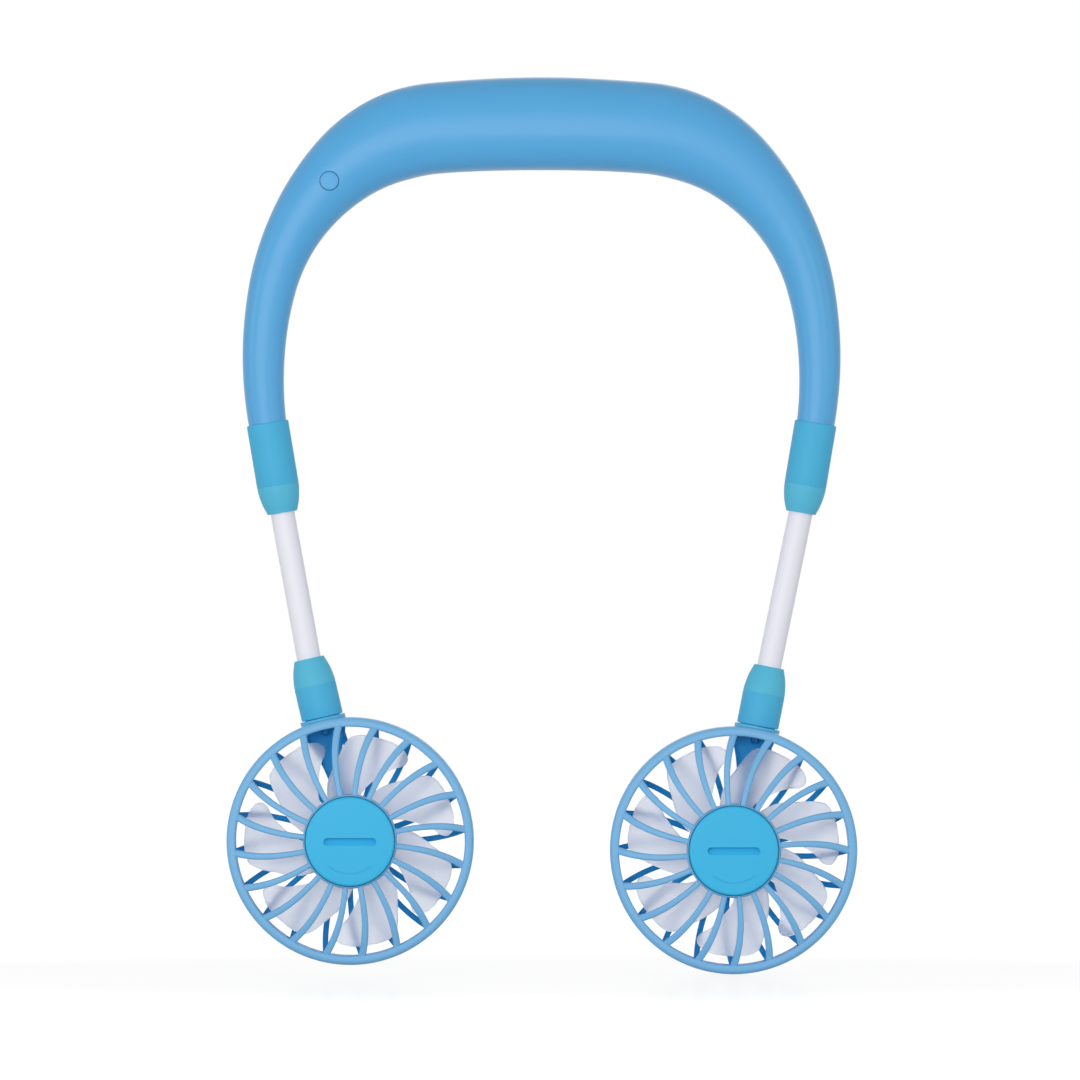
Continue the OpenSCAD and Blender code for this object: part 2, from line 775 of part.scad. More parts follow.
module battery_cell() {
  color(CELL_GREEN)
  translate([-battery_length / 2, 0, top_height - battery_drop])
    rotate([0, 90, 0]) {
      cylinder(d = battery_diameter, h = battery_length);
      translate([0, 0, battery_length])
        cylinder(d = battery_tip_diameter, h = battery_tip_height);
    }
}

module cradle_outline() {
  intersection() {
    polygon([
      for (j = [0:shell_steps_round])
        let (
          turn = 180 * j / shell_steps_round,
          inset = band_wall + cradle_gap,
          c = lobe(cos(turn), band_squareness) * (band_half_width(cradle_station) - inset),
          d = lobe(sin(turn), band_squareness) * (band_half_depth(cradle_station) - inset)
        )
        [d, c]
    ]);
    translate([0, -cradle_height / 2])
      square([battery_diameter, cradle_height]);
  }
}

module battery_cradle() {
  color(BAND_BLUE)
  difference() {
    translate([0, 0, top_height + spine(cradle_station)[1]]) {
      for (e = [-1, 1])
        translate([e * cradle_station - cradle_rib / 2, 0, 0])
          rotate([90, 0, 90])
            linear_extrude(cradle_rib)
              cradle_outline();
      for (e = [-1, 1])
        translate([
          -cradle_station,
          battery_diameter / 2 - 2 * cradle_rail,
          e * (cradle_height - cradle_rail) / 2 - cradle_rail / 2
        ])
          cube([2 * cradle_station, cradle_rail, cradle_rail]);
    }
    translate([-battery_length, 0, top_height - battery_drop])
      rotate([0, 90, 0])
        cylinder(d = battery_diameter + 2 * fit_gap, h = 2 * battery_length);
  }
}

module battery_leads() {
  side = board_station - board_length / 2 - 3 * lead_radius;
  plus = battery_length / 2 + battery_tip_height + lead_radius + fit_gap;
  minus = battery_length / 2 + lead_radius + fit_gap;
  middle = top_height - battery_drop;
  pillar = screw_head_diameter / 2 + boss_wall + 2.5 * lead_radius;
  color(BLACK) {
    wire(concat(
      [
        [plus, 0, middle - lead_radius],
        [plus, 0, middle + battery_tip_diameter / 2],
        [plus, 0, middle + battery_diameter / 2 + 2 * lead_radius]
      ],
      [for (k = [0:12])
        let (s = battery_length * 0.48 - (battery_length * 0.48 + side) * k / 12)
        beside(s, (band_inner(s) - 2.5 * lead_radius) * (1 - 0.6 * pow(k / 12, 10)), 0)]
    ), lead_radius, [0, 1, 0]);
    wire([
      [-minus, 0, middle + battery_tip_diameter / 2],
      [-minus, 0, middle - battery_tip_diameter / 2],
      [-minus - 2 * lead_radius, 0, middle - battery_tip_diameter],
      beside(-screw_stations[0], -pillar, 0),
      beside(-side, -pillar / 2, 0)
    ], lead_radius, [0, 1, 0]);
  }
}

// Board
module control_board() {
  color(BOARD_GREEN)
  on_band(board_station, LEFT)
    rotate([-90, 0, 0]) {
      translate([-board_length / 2, -board_height / 2, board_setback])
        cube([board_length, board_height, board_thickness]);
      translate([chip_station - chip_side / 2, -chip_side / 2, board_setback - chip_height])
        cube([chip_side, chip_side, chip_height + board_thickness / 2]);
      translate([-chip_station, 0, board_setback - coil_height])
        cylinder(d = coil_diameter, h = coil_height + board_thickness / 2);
    }
}

module push_switch() {
  color(BLACK)
  on_band(board_station, LEFT)
    rotate([-90, 0, 0]) {
      translate([-switch_side / 2, -switch_side / 2, board_setback - switch_height])
        cube([switch_side, switch_side, switch_height]);
      translate([0, 0, switch_tip])
        cylinder(d = switch_stem_diameter, h = switch_stem_height + switch_height / 2);
    }
}

module power_button() {
  back = -switch_tip + button_play;
  color(BAND_BLUE)
  on_band(board_station, LEFT)
    facing_front()
      revolve([
        [0, back],
        [button_diameter / 2 + button_flange_width, back],
        [button_diameter / 2 + button_flange_width, back + button_flange],
        [button_diameter / 2, back + button_flange],
        [button_diameter / 2, -button_face - button_edge],
        [button_diameter / 2 - button_edge * 0.3, -button_face - button_edge * 0.3],
        [button_diameter / 2 - button_edge, -button_face],
        [0, -button_face]
      ]);
}

module charge_port() {
  mouth = band_half_depth(port_station) - port_sink;
  color(STEEL)
  on_band(port_station, LEFT)
    rotate([-90, 0, 0]) {
      difference() {
        translate([0, 0, board_back])
          rounded_slot(port_width, port_height, mouth - board_back);
        translate([0, 0, board_back + port_tongue])
          rounded_slot(port_width - 2 * port_wall, port_height - 2 * port_wall, mouth);
      }
      translate([-port_tongue_width / 2, -port_tongue / 2, board_back])
        cube([port_tongue_width, port_tongue, mouth - board_back - port_tongue]);
    }
}

module charge_light() {
  color(HOSE_WHITE)
  on_band(light_station, LEFT)
    rotate([-90, 0, 0])
      translate([0, 0, board_back])
        cylinder(d = light_diameter, h = band_half_depth(light_station) - board_back);
}

module band_cable(side) {
  first = side < 0 ? board_station + board_length / 2 : -board_station + board_length * 0.45;
  steps = 36;
  color(BLACK)
  wire([
    for (k = [0:steps])
      let (
        s = first + (half_length - first) * k / steps,
        late = max(0, min(1, (half_length - 4 * plug_spigot - abs(s)) / (8 * plug_spigot))),
        early = side < 0 ? min(1, k / 4) : 1
      )
      beside(side * s, -(band_inner(s) - 1.9 * cable_radius) * late * early, 0)
  ], cable_radius, [0, 1, 0]);
}

// Where the band meets an arm
module end_plug(side) {
  color(BAND_BLUE)
  on_end(side)
    difference() {
      revolve([
        [0, plug_spigot],
        [end_radius - band_wall - fit_gap, plug_spigot],
        [end_radius - band_wall - fit_gap, 0],
        [end_radius, 0],
        [end_radius, -plug_collar],
        [ferrule_flange_radius, -plug_collar],
        [ferrule_flange_radius, -plug_collar - plug_boss],
        [0, -plug_collar - plug_boss]
      ]);
      translate([0, 0, -slab / 2])
        cylinder(r = wire_hole_radius, h = slab);
      translate([0, 0, -plug_collar - plug_boss - fit_gap])
        cylinder(r = link_radius + fit_gap, h = plug_socket + fit_gap);
    }
}

function taper_outline(start, way) = [
  for (i = [0:len(sleeve_taper_radii) - 1])
    [sleeve_taper_radii[i], start + way * sleeve_taper * i / (len(sleeve_taper_radii) - 1)]
];

module upper_sleeve(side) {
  shoulder = sleeve_mouth + sleeve_taper;
  throat = sleeve_mouth + 2 * sleeve_grip;
  color(SLEEVE_BLUE)
  on_end(side)
    revolve(concat(
      [
        [end_radius + 2 * fit_gap, sleeve_cover],
        [sleeve_radius - sleeve_rim, sleeve_cover],
        [sleeve_radius - sleeve_rim * 0.3, sleeve_cover - sleeve_rim * 0.3],
        [sleeve_radius, sleeve_cover - sleeve_rim]
      ],
      taper_outline(shoulder, -1),
      [
        [hose_radius + fit_gap, sleeve_mouth],
        [hose_radius + fit_gap, throat],
        [ferrule_flange_radius + fit_gap, throat],
        [ferrule_flange_radius + fit_gap, -plug_collar - fit_gap],
        [end_radius + 2 * fit_gap, -plug_collar - fit_gap]
      ]
    ));
}

// A stretch of grooved metal neck from z = low to high, with bevels where it meets a gap
function neck_outline(low, high, bevel_low, bevel_high) =
  let (
    n = max(2, round((high - low) / (link_radius * 0.62))),
    a = low + (bevel_low ? link_bevel : 0),
    b = high - (bevel_high ? link_bevel : 0),
    p = (b - a) / n
  )
  concat(
    [[bevel_low ? link_radius - 1.6 * link_bevel : link_radius, low]],
    [for (i = [0:n - 1]) each [
      [link_radius, a + p * (i + 0.02)],
      [link_radius, a + p * (i + 0.4)],
      [link_radius - link_groove, a + p * (i + 0.5)],
      [link_radius - link_groove, a + p * (i + 0.9)],
      [link_radius, a + p * (i + 0.98)]
    ]],
    [[bevel_high ? link_radius - 1.6 * link_bevel : link_radius, high]]
  );

function hinge_height(side, k) = -hose_length(side) * (k - 0.5) / link_count;

module hose_link(side, k) {
  low = hinge_height(side, k + 1) + link_gap / 2;
  high = hinge_height(side, k) - link_gap / 2;
  color(STEEL)
  on_hose(side)
    revolve(concat(
      [[link_bore, low]],
      neck_outline(low, high, true, true),
      [[link_bore, high]]
    ));
}

module upper_ferrule(side) {
  top = -plug_collar - plug_boss + plug_socket - fit_gap;
  flange = -plug_collar - plug_boss - fit_gap;
  base = sleeve_mouth + 2 * sleeve_grip + ferrule_clearance;
  low = sleeve_mouth + hinge_height(side, 1) + link_gap / 2;
  color(STEEL)
  on_end(side)
    revolve(concat(
      [
        [link_bore, top],
        [link_radius, top],
        [link_radius, flange],
        [ferrule_flange_radius, flange],
        [ferrule_flange_radius, flange - ferrule_flange],
        [ferrule_radius, flange - ferrule_flange],
        [ferrule_radius, base]
      ],
      reversed(neck_outline(low, base, true, false)),
      [[link_bore, low]]
    ));
}

function down_stem(side, d) =
  hose_bottom(side) - d * [side * sin(stem_lean(side)), 0, cos(stem_lean(side))];

module hose_skin(side) {
  up = [side * sin(end_lean), 0, cos(end_lean)];
  cover = 2 * sleeve_grip - 4 * fit_gap;
  color(HOSE_WHITE)
  pipe([
    hose_top(side) + cover * up,
    hose_top(side),
    hose_bottom(side),
    down_stem(side, cover)
  ], hose_radius, hose_radius - hose_skin);
}

module hose_cable(side) {
  color(BLACK)
  wire([
    band_end(side) - wire_hole_radius * [side * sin(end_lean), 0, cos(end_lean)],
    (band_end(side) + hose_top(side)) / 2,
    hose_top(side),
    (hose_top(side) + hose_bottom(side)) / 2,
    hose_bottom(side),
    down_stem(side, stem_length / 5),
    down_stem(side, stem_length - neck_start - 1.6 * neck_lip)
  ], cable_radius, [0, 1, 0]);
}

module lower_ferrule(side) {
  base = neck_start + neck_lip + 2 * fit_gap;
  bearing = neck_bore - 1.5 * fit_gap;
  under = neck_end - neck_lip - 2 * fit_gap;
  shelf = neck_end + 2 * fit_gap;
  high = stem_length - hinge_height(side, 1) - link_gap / 2;
  color(STEEL)
  on_stem(side)
    revolve(concat(
      [
        [link_bore, base],
        [bearing, base],
        [bearing, under],
        [waist_radius, under],
        [waist_radius, shelf],
        [turn_flange_radius, shelf],
        [turn_flange_radius, shelf + turn_flange]
      ],
      neck_outline(shelf + turn_flange, high, false, true),
      [[link_bore, high]]
    ));
}

module lower_sleeve(side) {
  low = ring_radius + lip_height + sleeve_gap;
  shoulder = stem_length - sleeve_taper;
  throat = stem_length - 2 * sleeve_grip;
  color(SLEEVE_BLUE)
  on_stem(side)
    revolve(concat(
      [
        [neck_radius + fit_gap, low],
        [sleeve_radius - sleeve_rim, low],
        [sleeve_radius - sleeve_rim * 0.3, low + sleeve_rim * 0.3],
        [sleeve_radius, low + sleeve_rim]
      ],
      taper_outline(shoulder, 1),
      [
        [hose_radius + 2 * fit_gap, stem_length],
        [hose_radius + 2 * fit_gap, throat],
        [neck_radius + fit_gap, throat]
      ]
    ));
}

module stem_socket(side) {
  color(DEEP_BLUE)
  on_stem(side)
    difference() {
      union() {
        translate([0, 0, neck_start])
          cylinder(r = neck_radius, h = neck_end - neck_start);
        difference() {
          translate([0, 0, neck_start])
            cylinder(r = lip_radius, h = ring_radius + lip_height - neck_start);
          facing_front()
            translate([0, 0, -slab / 2])
              cylinder(r = ring_radius + fit_gap / 2, h = slab);
        }
      }
      translate([0, 0, neck_start + neck_lip])
        cylinder(r = neck_bore, h = neck_end - neck_start - 2 * neck_lip);
      cylinder(r = wire_hole_radius, h = neck_end);
      translate([0, 0, neck_start + 2 * neck_lip])
        cylinder(r = neck_mouth, h = slab);
    }
}

// Heads, each drawn with its front up and its stem towards +Y, then set in place
module stem_hole() {
  rotate([-90, 0, 0])
    translate([0, 0, ring_opening / 2])
      cylinder(r = neck_radius + fit_gap / 2, h = ring_radius);
}

module rib_prisms(inner, outer, widths, way, phase) {
  stations = 9;
  for (k = [0:rib_count - 1])
    rotate([0, 0, -360 * k / rib_count])
      linear_extrude(slab, center = true)
        polygon([
          for (e = [1, -1], i = [0:stations])
            let (
              t = (e > 0 ? i : stations - i) / stations,
              r = inner + (outer - inner) * t,
              half = (widths[0] + (widths[1] - widths[0]) * t) / 2
            )
            clockwise(
              r,
              phase + way * (rib_angle(r, inner, outer) - rib_sweep) + e * asin(half / r)
            )
        ]);
}

function crest_outline(inner, outer, heights, depth) = [
  for (e = [0, 1], i = [0:len(heights) - 1])
    let (j = e == 0 ? i : len(heights) - 1 - i, t = j / (len(heights) - 1))
    [inner + (outer - inner) * t, heights[j] - e * depth]
];

module front_guard(side) {
  color(RING_BLUE)
  on_head(side)
    difference() {
      union() {
        revolve([
          [ring_radius - ring_wall, fit_gap],
          [ring_radius, fit_gap],
          [ring_radius, ring_front - ring_edge],
          [ring_radius - ring_edge * 0.13, ring_front - ring_edge * 0.5],
          [ring_radius - ring_edge * 0.5, ring_front - ring_edge * 0.13],
          [ring_radius - ring_edge, ring_front],
          [ring_opening + ring_edge * 0.3, ring_front],
          [ring_opening, ring_front - ring_edge * 0.3],
          [ring_opening, ring_front - ring_lip],
          [ring_radius - ring_wall, ring_front - ring_lip]
        ]);
        intersection() {
          rib_prisms(hub_radius, ring_opening + ring_wall / 2, rib_widths, 1, rib_phase);
          revolve(crest_outline(
            hub_radius - fit_gap, ring_opening + ring_wall / 2, crest_heights, rib_depth));
        }
        revolve([
          [0, hub_underside],
          [hub_radius - hub_floor, hub_underside],
          [hub_radius, hub_underside + hub_floor],
          [hub_radius, hub_rim],
          [hub_pocket, hub_rim],
          [hub_pocket, hub_underside + hub_floor],
          [0, hub_underside + hub_floor]
        ]);
      }
      stem_hole();
      for (k = [0:vent_count - 1])
        rotate([0, 0, 360 * (k + 0.5) / vent_count])
          translate([vent_station, 0, 0])
            cylinder(r = vent_radius, h = slab);
    }
}

module rear_guard(side) {
  tongue = ring_radius - ring_wall - fit_gap;
  color(DEEP_BLUE)
  on_head(side)
    difference() {
      union() {
        revolve([
          [ring_radius - ring_edge * 0.5, -ring_back],
          [ring_radius - ring_edge * 0.3, -ring_back + ring_edge * 0.3],
          [ring_radius - fit_gap / 2, -ring_back + ring_edge],
          [ring_radius - fit_gap / 2, 0],
          [tongue, 0],
          [tongue, tongue_height],
          [tongue - tongue_wall, tongue_height],
          [tongue - tongue_wall, -ring_back]
        ]);
        intersection() {
          mirror([0, 0, 1])
            rib_prisms(
              cup_radius - ring_wall / 2,
              tongue - tongue_wall / 2,
              [rear_rib_width, rear_rib_width],
              -1,
              rib_phase
            );
          mirror([0, 0, 1])
            revolve(crest_outline(
              cup_radius - ring_wall / 2, tongue - tongue_wall / 2,
              rear_crest_depths, rear_rib_depth));
        }
        difference() {
          translate([0, 0, -strut_depths[1]])
            linear_extrude(strut_depths[1] - strut_depths[0])
              polygon([
                for (e = [-1, 1], i = [0:len(strut_shares) - 1])
                  let (j = e < 0 ? i : len(strut_shares) - 1 - i)
                  [e * strut_half_widths[j], strut_foot + (strut_head - strut_foot) * strut_shares[j]]
              ]);
          translate([-groove_width / 2, 0, groove_middle - groove_depth / 2])
            cube([groove_width, ring_radius, groove_depth]);
          translate([-groove_width / 2, neck_start - groove_mouth, groove_middle - groove_depth / 2])
            cube([groove_width, ring_radius, slab]);
        }
        translate([0, 0, -cup_back])
          cylinder(r = cup_radius, h = cup_back - cup_front);
      }
      translate([0, 0, -cup_back + cup_floor])
        cylinder(r = motor_radius + fit_gap, h = slab);
      stem_hole();
    }
}

module head_cable(side) {
  bed = groove_middle;
  down = neck_start - 1.3 * cable_radius;
  color(DEEP_BLUE)
  on_head(side)
    wire([
      [0, neck_start + neck_lip / 2, 0],
      [0, neck_start - fit_gap, -cable_radius * 0.5],
      [0, down, -cable_radius * 1.9],
      [0, down, bed / 2],
      [0, down - cable_radius * 0.1, bed + cable_radius * 1.9],
      [0, down - cable_radius * 0.9, bed + cable_radius * 0.4],
      [0, down - cable_radius * 2.4, bed],
      [0, (down + cup_radius) / 2, bed],
      [0, cup_radius + fit_gap, bed]
    ], cable_radius, [1, 0, 0]);
}

module motor_can(side) {
  color(STEEL)
  on_head(side)
    difference() {
      union() {
        translate([0, 0, -motor_back])
          cylinder(r = motor_radius, h = motor_back + motor_front);
        cylinder(r = bearing_radius, h = motor_boss_front);
      }
      translate([0, 0, motor_wall - motor_back])
        cylinder(r = motor_radius - motor_wall, h = motor_back + motor_front - 2 * motor_wall);
      cylinder(r = shaft_radius + bearing_gap, h = slab);
    }
}

module motor_shaft(side) {
  back = -motor_back + 2 * motor_wall;
  color(STEEL)
  on_head(side) {
    translate([0, 0, back])
      cylinder(r = shaft_radius, h = shaft_front - back);
    translate([0, 0, back + motor_wall])
      cylinder(r = rotor_radius, h = rotor_length);
  }
}

module blade_skin(radius, centre, start) {
  intersection() {
    translate([0, 0, centre])
      rotate([0, 90, 0])
        difference() {
          cylinder(r = radius + blade_thickness / 2, h = ring_radius);
          cylinder(r = radius - blade_thickness / 2, h = ring_radius);
        }
    translate([0, start, 0])
      cube([ring_radius, slab, slab]);
  }
}

module blade() {
  intersection() {
    translate([0, 0, -spinner_back])
      linear_extrude(spinner_back + spinner_front)
        polygon([
          for (i = [0:len(blade_shares) - 1])
            clockwise(blade_foot + (blade_tip - blade_foot) * blade_shares[i], blade_angles[i])
        ]);
    rotate([0, 0, 90 - blade_middle])
      translate([0, 0, blade_height])
        rotate([blade_pitch, 0, 0])
          translate([0, 0, -blade_camber])
            rotate([blade_curl_start, 0, 0]) {
              blade_skin(blade_camber, 0, 0);
              blade_skin(blade_curl_radius, blade_camber + blade_curl_radius, -slab);
            }
  }
}

module impeller(side) {
  color(BLADE_WHITE)
  on_head(side)
    rotate([0, 0, -fan_angle(side)]) {
      for (k = [0:blade_count - 1])
        rotate([0, 0, 360 * k / blade_count])
          blade();
      revolve([
        [shaft_radius + shaft_gap, spinner_front - spinner_plate - spinner_boss],
        [spinner_boss_radius, spinner_front - spinner_plate - spinner_boss],
        [spinner_boss_radius, spinner_front - spinner_plate],
        [spinner_bore, spinner_front - spinner_plate],
        [spinner_bore, -spinner_back],
        [spinner_radius, -spinner_back],
        [spinner_radius, spinner_front - spinner_plate / 2],
        [spinner_radius - spinner_plate / 2, spinner_front],
        [shaft_radius + shaft_gap, spinner_front]
      ]);
    }
}

// Front cap: a tray with the pad lifts out of the hub, and the coin-slot cap turns on the tray
module pad_tray(side) {
  low = hub_underside + hub_floor + fit_gap;
  color(HOSE_WHITE)
  on_head(side)
    difference() {
      union() {
        revolve([
          [0, low],
          [tray_radius, low],
          [tray_radius, low + tray_height],
          [tray_radius - tray_wall, low + tray_height],
          [tray_radius - tray_wall, low + tray_floor],
          [0, low + tray_floor]
        ]);
        translate([0, 0, low])
          cylinder(r = tray_boss_radius, h = tray_height);
      }
      cylinder(r = pivot_radius + 1.5 * fit_gap, h = slab);
      for (k = [0:vent_count - 1])
        rotate([0, 0, 360 * (k + 0.5) / vent_count])
          translate([vent_station, 0, 0])
            cylinder(r = vent_radius, h = slab);
    }
}

module aroma_pad(side) {
  low = hub_underside + hub_floor + tray_floor + 2 * fit_gap;
  color(PAD_CREAM)
  on_head(side)
    translate([0, 0, low])
      difference() {
        cylinder(r = tray_radius - tray_wall - 2 * fit_gap, h = pad_thickness);
        translate([0, 0, -fit_gap])
          cylinder(r = tray_boss_radius + 2 * fit_gap, h = pad_thickness + 2 * fit_gap);
      }
}

module aroma_cap(side) {
  color(CAP_CYAN)
  on_head(side)
    rotate([0, 0, side * stem_lean(side)])
      difference() {
        revolve([
          [0, cap_heights[0] - pivot_length],
          [pivot_radius, cap_heights[0] - pivot_length],
          [pivot_radius, cap_heights[0]],
          [cap_radius, cap_heights[0]],
          [cap_radius, cap_heights[1] - cap_edge],
          [cap_radius - cap_edge * 0.3, cap_heights[1] - cap_edge * 0.3],
          [cap_radius - cap_edge, cap_heights[1]],
          [0, cap_heights[1]]
        ]);
        translate([0, -slot_drop, cap_heights[1] - slot_depth])
          rounded_slot(slot_length, slot_width, slab);
        rotate([0, 0, -90 - arc_half_angle])
          translate([0, 0, cap_heights[1] - arc_depth])
            rotate_extrude(angle = 2 * arc_half_angle)
              translate([arc_radius - arc_width / 2, 0])
                square([arc_width, slab]);
      }
}

band_front_shell();
band_rear_shell();
battery_cell();
battery_cradle();
battery_leads();
control_board();
push_switch();
charge_port();
charge_light();
band_screws();
power_button();
end_plug(LEFT);  // left_end_plug
upper_sleeve(LEFT);  // left_upper_sleeve
upper_ferrule(LEFT);  // left_upper_ferrule
band_cable(LEFT);  // left_band_cable
hose_link(LEFT, 1);  // left_hose_link_1
hose_link(LEFT, 2);  // left_hose_link_2
hose_link(LEFT, 3);  // left_hose_link_3
hose_link(LEFT, 4);  // left_hose_link_4
hose_link(LEFT, 5);  // left_hose_link_5
hose_skin(LEFT);  // left_hose_skin
hose_cable(LEFT);  // left_hose_cable
lower_ferrule(LEFT);  // left_lower_ferrule
lower_sleeve(LEFT);  // left_lower_sleeve
stem_socket(LEFT);  // left_stem_socket
front_guard(LEFT);  // left_front_guard
rear_guard(LEFT);  // left_rear_guard
head_cable(LEFT);  // left_head_cable
motor_can(LEFT);  // left_motor_can
motor_shaft(LEFT);  // left_motor_shaft
impeller(LEFT);  // left_impeller
pad_tray(LEFT);  // left_pad_tray
aroma_pad(LEFT);  // left_aroma_pad
aroma_cap(LEFT);  // left_aroma_cap
end_plug(RIGHT);  // right_end_plug
upper_sleeve(RIGHT);  // right_upper_sleeve
upper_ferrule(RIGHT);  // right_upper_ferrule
band_cable(RIGHT);  // right_band_cable
hose_link(RIGHT, 1);  // right_hose_link_1
hose_link(RIGHT, 2);  // right_hose_link_2
hose_link(RIGHT, 3);  // right_hose_link_3
hose_link(RIGHT, 4);  // right_hose_link_4
hose_link(RIGHT, 5);  // right_hose_link_5
hose_skin(RIGHT);  // right_hose_skin
hose_cable(RIGHT);  // right_hose_cable
lower_ferrule(RIGHT);  // right_lower_ferrule
lower_sleeve(RIGHT);  // right_lower_sleeve
stem_socket(RIGHT);  // right_stem_socket
front_guard(RIGHT);  // right_front_guard
rear_guard(RIGHT);  // right_rear_guard
head_cable(RIGHT);  // right_head_cable
motor_can(RIGHT);  // right_motor_can
motor_shaft(RIGHT);  // right_motor_shaft
impeller(RIGHT);  // right_impeller
pad_tray(RIGHT);  // right_pad_tray
aroma_pad(RIGHT);  // right_aroma_pad
aroma_cap(RIGHT);  // right_aroma_cap
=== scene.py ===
import math

import bmesh
import bpy
import numpy as np
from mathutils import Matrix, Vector
from mathutils.bvhtree import BVHTree
from mathutils.interpolate import poly_3d_calc


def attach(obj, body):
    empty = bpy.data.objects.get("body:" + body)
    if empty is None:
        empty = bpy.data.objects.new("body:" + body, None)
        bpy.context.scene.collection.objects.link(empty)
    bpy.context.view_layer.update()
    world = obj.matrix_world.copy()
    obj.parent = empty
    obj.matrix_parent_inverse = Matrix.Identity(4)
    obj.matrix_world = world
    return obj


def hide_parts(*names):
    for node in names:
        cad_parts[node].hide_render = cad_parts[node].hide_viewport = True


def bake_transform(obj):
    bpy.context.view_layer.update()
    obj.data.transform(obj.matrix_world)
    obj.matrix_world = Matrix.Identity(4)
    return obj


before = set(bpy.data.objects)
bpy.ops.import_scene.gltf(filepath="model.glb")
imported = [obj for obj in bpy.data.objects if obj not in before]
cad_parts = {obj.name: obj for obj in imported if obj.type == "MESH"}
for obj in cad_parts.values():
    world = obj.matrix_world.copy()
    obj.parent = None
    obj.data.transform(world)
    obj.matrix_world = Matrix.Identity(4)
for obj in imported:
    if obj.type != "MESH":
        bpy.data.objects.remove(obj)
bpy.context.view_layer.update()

MM = 0.001
RAD = math.pi / 180
TURN = 2 * math.pi
SIDES = (("left", -1), ("right", 1))

# The camera, placed by the photo

# The photo's size, and in it the column of the object's middle and the row of the ground
PHOTO = 1080
PHOTO_MIDDLE, PHOTO_GROUND = 541.6, 973.7
PX = 0.316 * MM
CAM_DISTANCE = 5.0
# How far in front of the middle plane the photo's scale holds
SCALE_PLANE = 0.003
SENSOR = 36.0


def placed(name, data):
    """A new object in the scene."""
    ob = bpy.data.objects.new(name, data)
    bpy.context.scene.collection.objects.link(ob)
    return ob


camera = placed("Camera", bpy.data.cameras.new("Camera"))
bpy.context.scene.camera = camera
camera.location = (
    (PHOTO / 2 - PHOTO_MIDDLE) * PX, -CAM_DISTANCE - SCALE_PLANE, (PHOTO_GROUND - PHOTO / 2) * PX
)
camera.rotation_euler = (math.pi / 2, 0, 0)
camera.data.sensor_fit = "HORIZONTAL"
camera.data.sensor_width = SENSOR
camera.data.lens = SENSOR * CAM_DISTANCE / (PHOTO * PX)
camera.data.clip_start = 0.05
camera.data.clip_end = 60

scene = bpy.context.scene
scene.view_settings.view_transform = "Standard"

# Small mesh tools, all in millimetres until an object is made

# Angles, in degrees, under which an edge is shaded smooth
SMOOTH, NODE_SMOOTH, CURVED, FAN_SMOOTH, HOSE_SMOOTH = 35.0, 30, 40, 50, 60
# Limits of a rounded corner: shortest side, most of a side that it takes, widest and
# narrowest half angle
TINY, SIDE_SHARE, STRAIGHT, FOLDED = 1e-9, 0.49, math.radians(88), 1e-3
ON_AXIS = 1e-7


def smooth(ob, angle=SMOOTH):
    """Shades an object smooth, apart from edges sharper than the angle."""
    me = ob.data
    me.polygons.foreach_set("use_smooth", [True] * len(me.polygons))
    me.set_sharp_from_angle(angle=math.radians(angle))
    return ob


class Shape:
    """Vertices and faces gathered from several shells."""

    def __init__(self):
        self.verts = []
        self.faces = []

    def add(self, verts, faces):
        base = len(self.verts)
        self.verts += [tuple(float(c) for c in v) for v in verts]
        self.faces += [tuple(base + i for i in f) for f in faces]
        return self

    def build(self, name, frame_of=None, angle=SMOOTH):
        """Makes an object, placed by a (rotation, place) pair if one is given."""
        me = bpy.data.meshes.new(name)
        co = np.array(self.verts, float)
        if frame_of is not None:
            co = co @ frame_of[0].T + frame_of[1]
        me.from_pydata((co * MM).tolist(), [], self.faces)
        me.update()
        bm = bmesh.new()
        bm.from_mesh(me)
        bmesh.ops.recalc_face_normals(bm, faces=bm.faces)
        bm.to_mesh(me)
        bm.free()
        return smooth(placed(name, me), angle)


def fillet(profile, steps, closed=False):
    """Rounds the corners of an outline of (r, h, rounding), and gives it as (r, h)."""
    n = len(profile)
    points = [np.array((r, h), float) for r, h, _ in profile]
    out = []
    for i, (r, h, rad) in enumerate(profile):
        if rad <= 0 or (not closed and i in (0, n - 1)):
            out.append((r, h))
            continue
        p = points[i]
        a = points[i - 1] - p
        b = points[(i + 1) % n] - p
        la, lb = np.linalg.norm(a), np.linalg.norm(b)
        if la < TINY or lb < TINY:
            out.append((r, h))
            continue
        a, b = a / la, b / lb
        half = math.acos(max(-1, min(1, float(a @ b)))) / 2
        if half > STRAIGHT or half < FOLDED:
            out.append((r, h))
            continue
        d = min(rad / math.tan(half), la * SIDE_SHARE, lb * SIDE_SHARE)
        centre = p + (a + b) / np.linalg.norm(a + b) * (d * math.tan(half) / math.sin(half))
        start, end = p + a * d - centre, p + b * d - centre
        turn = math.atan2(start[0] * end[1] - start[1] * end[0], float(start @ end))
        for k in range(steps + 1):
            c, s = math.cos(turn * k / steps), math.sin(turn * k / steps)
            out.append((
                centre[0] + start[0] * c - start[1] * s,
                centre[1] + start[0] * s + start[1] * c,
            ))
    return out


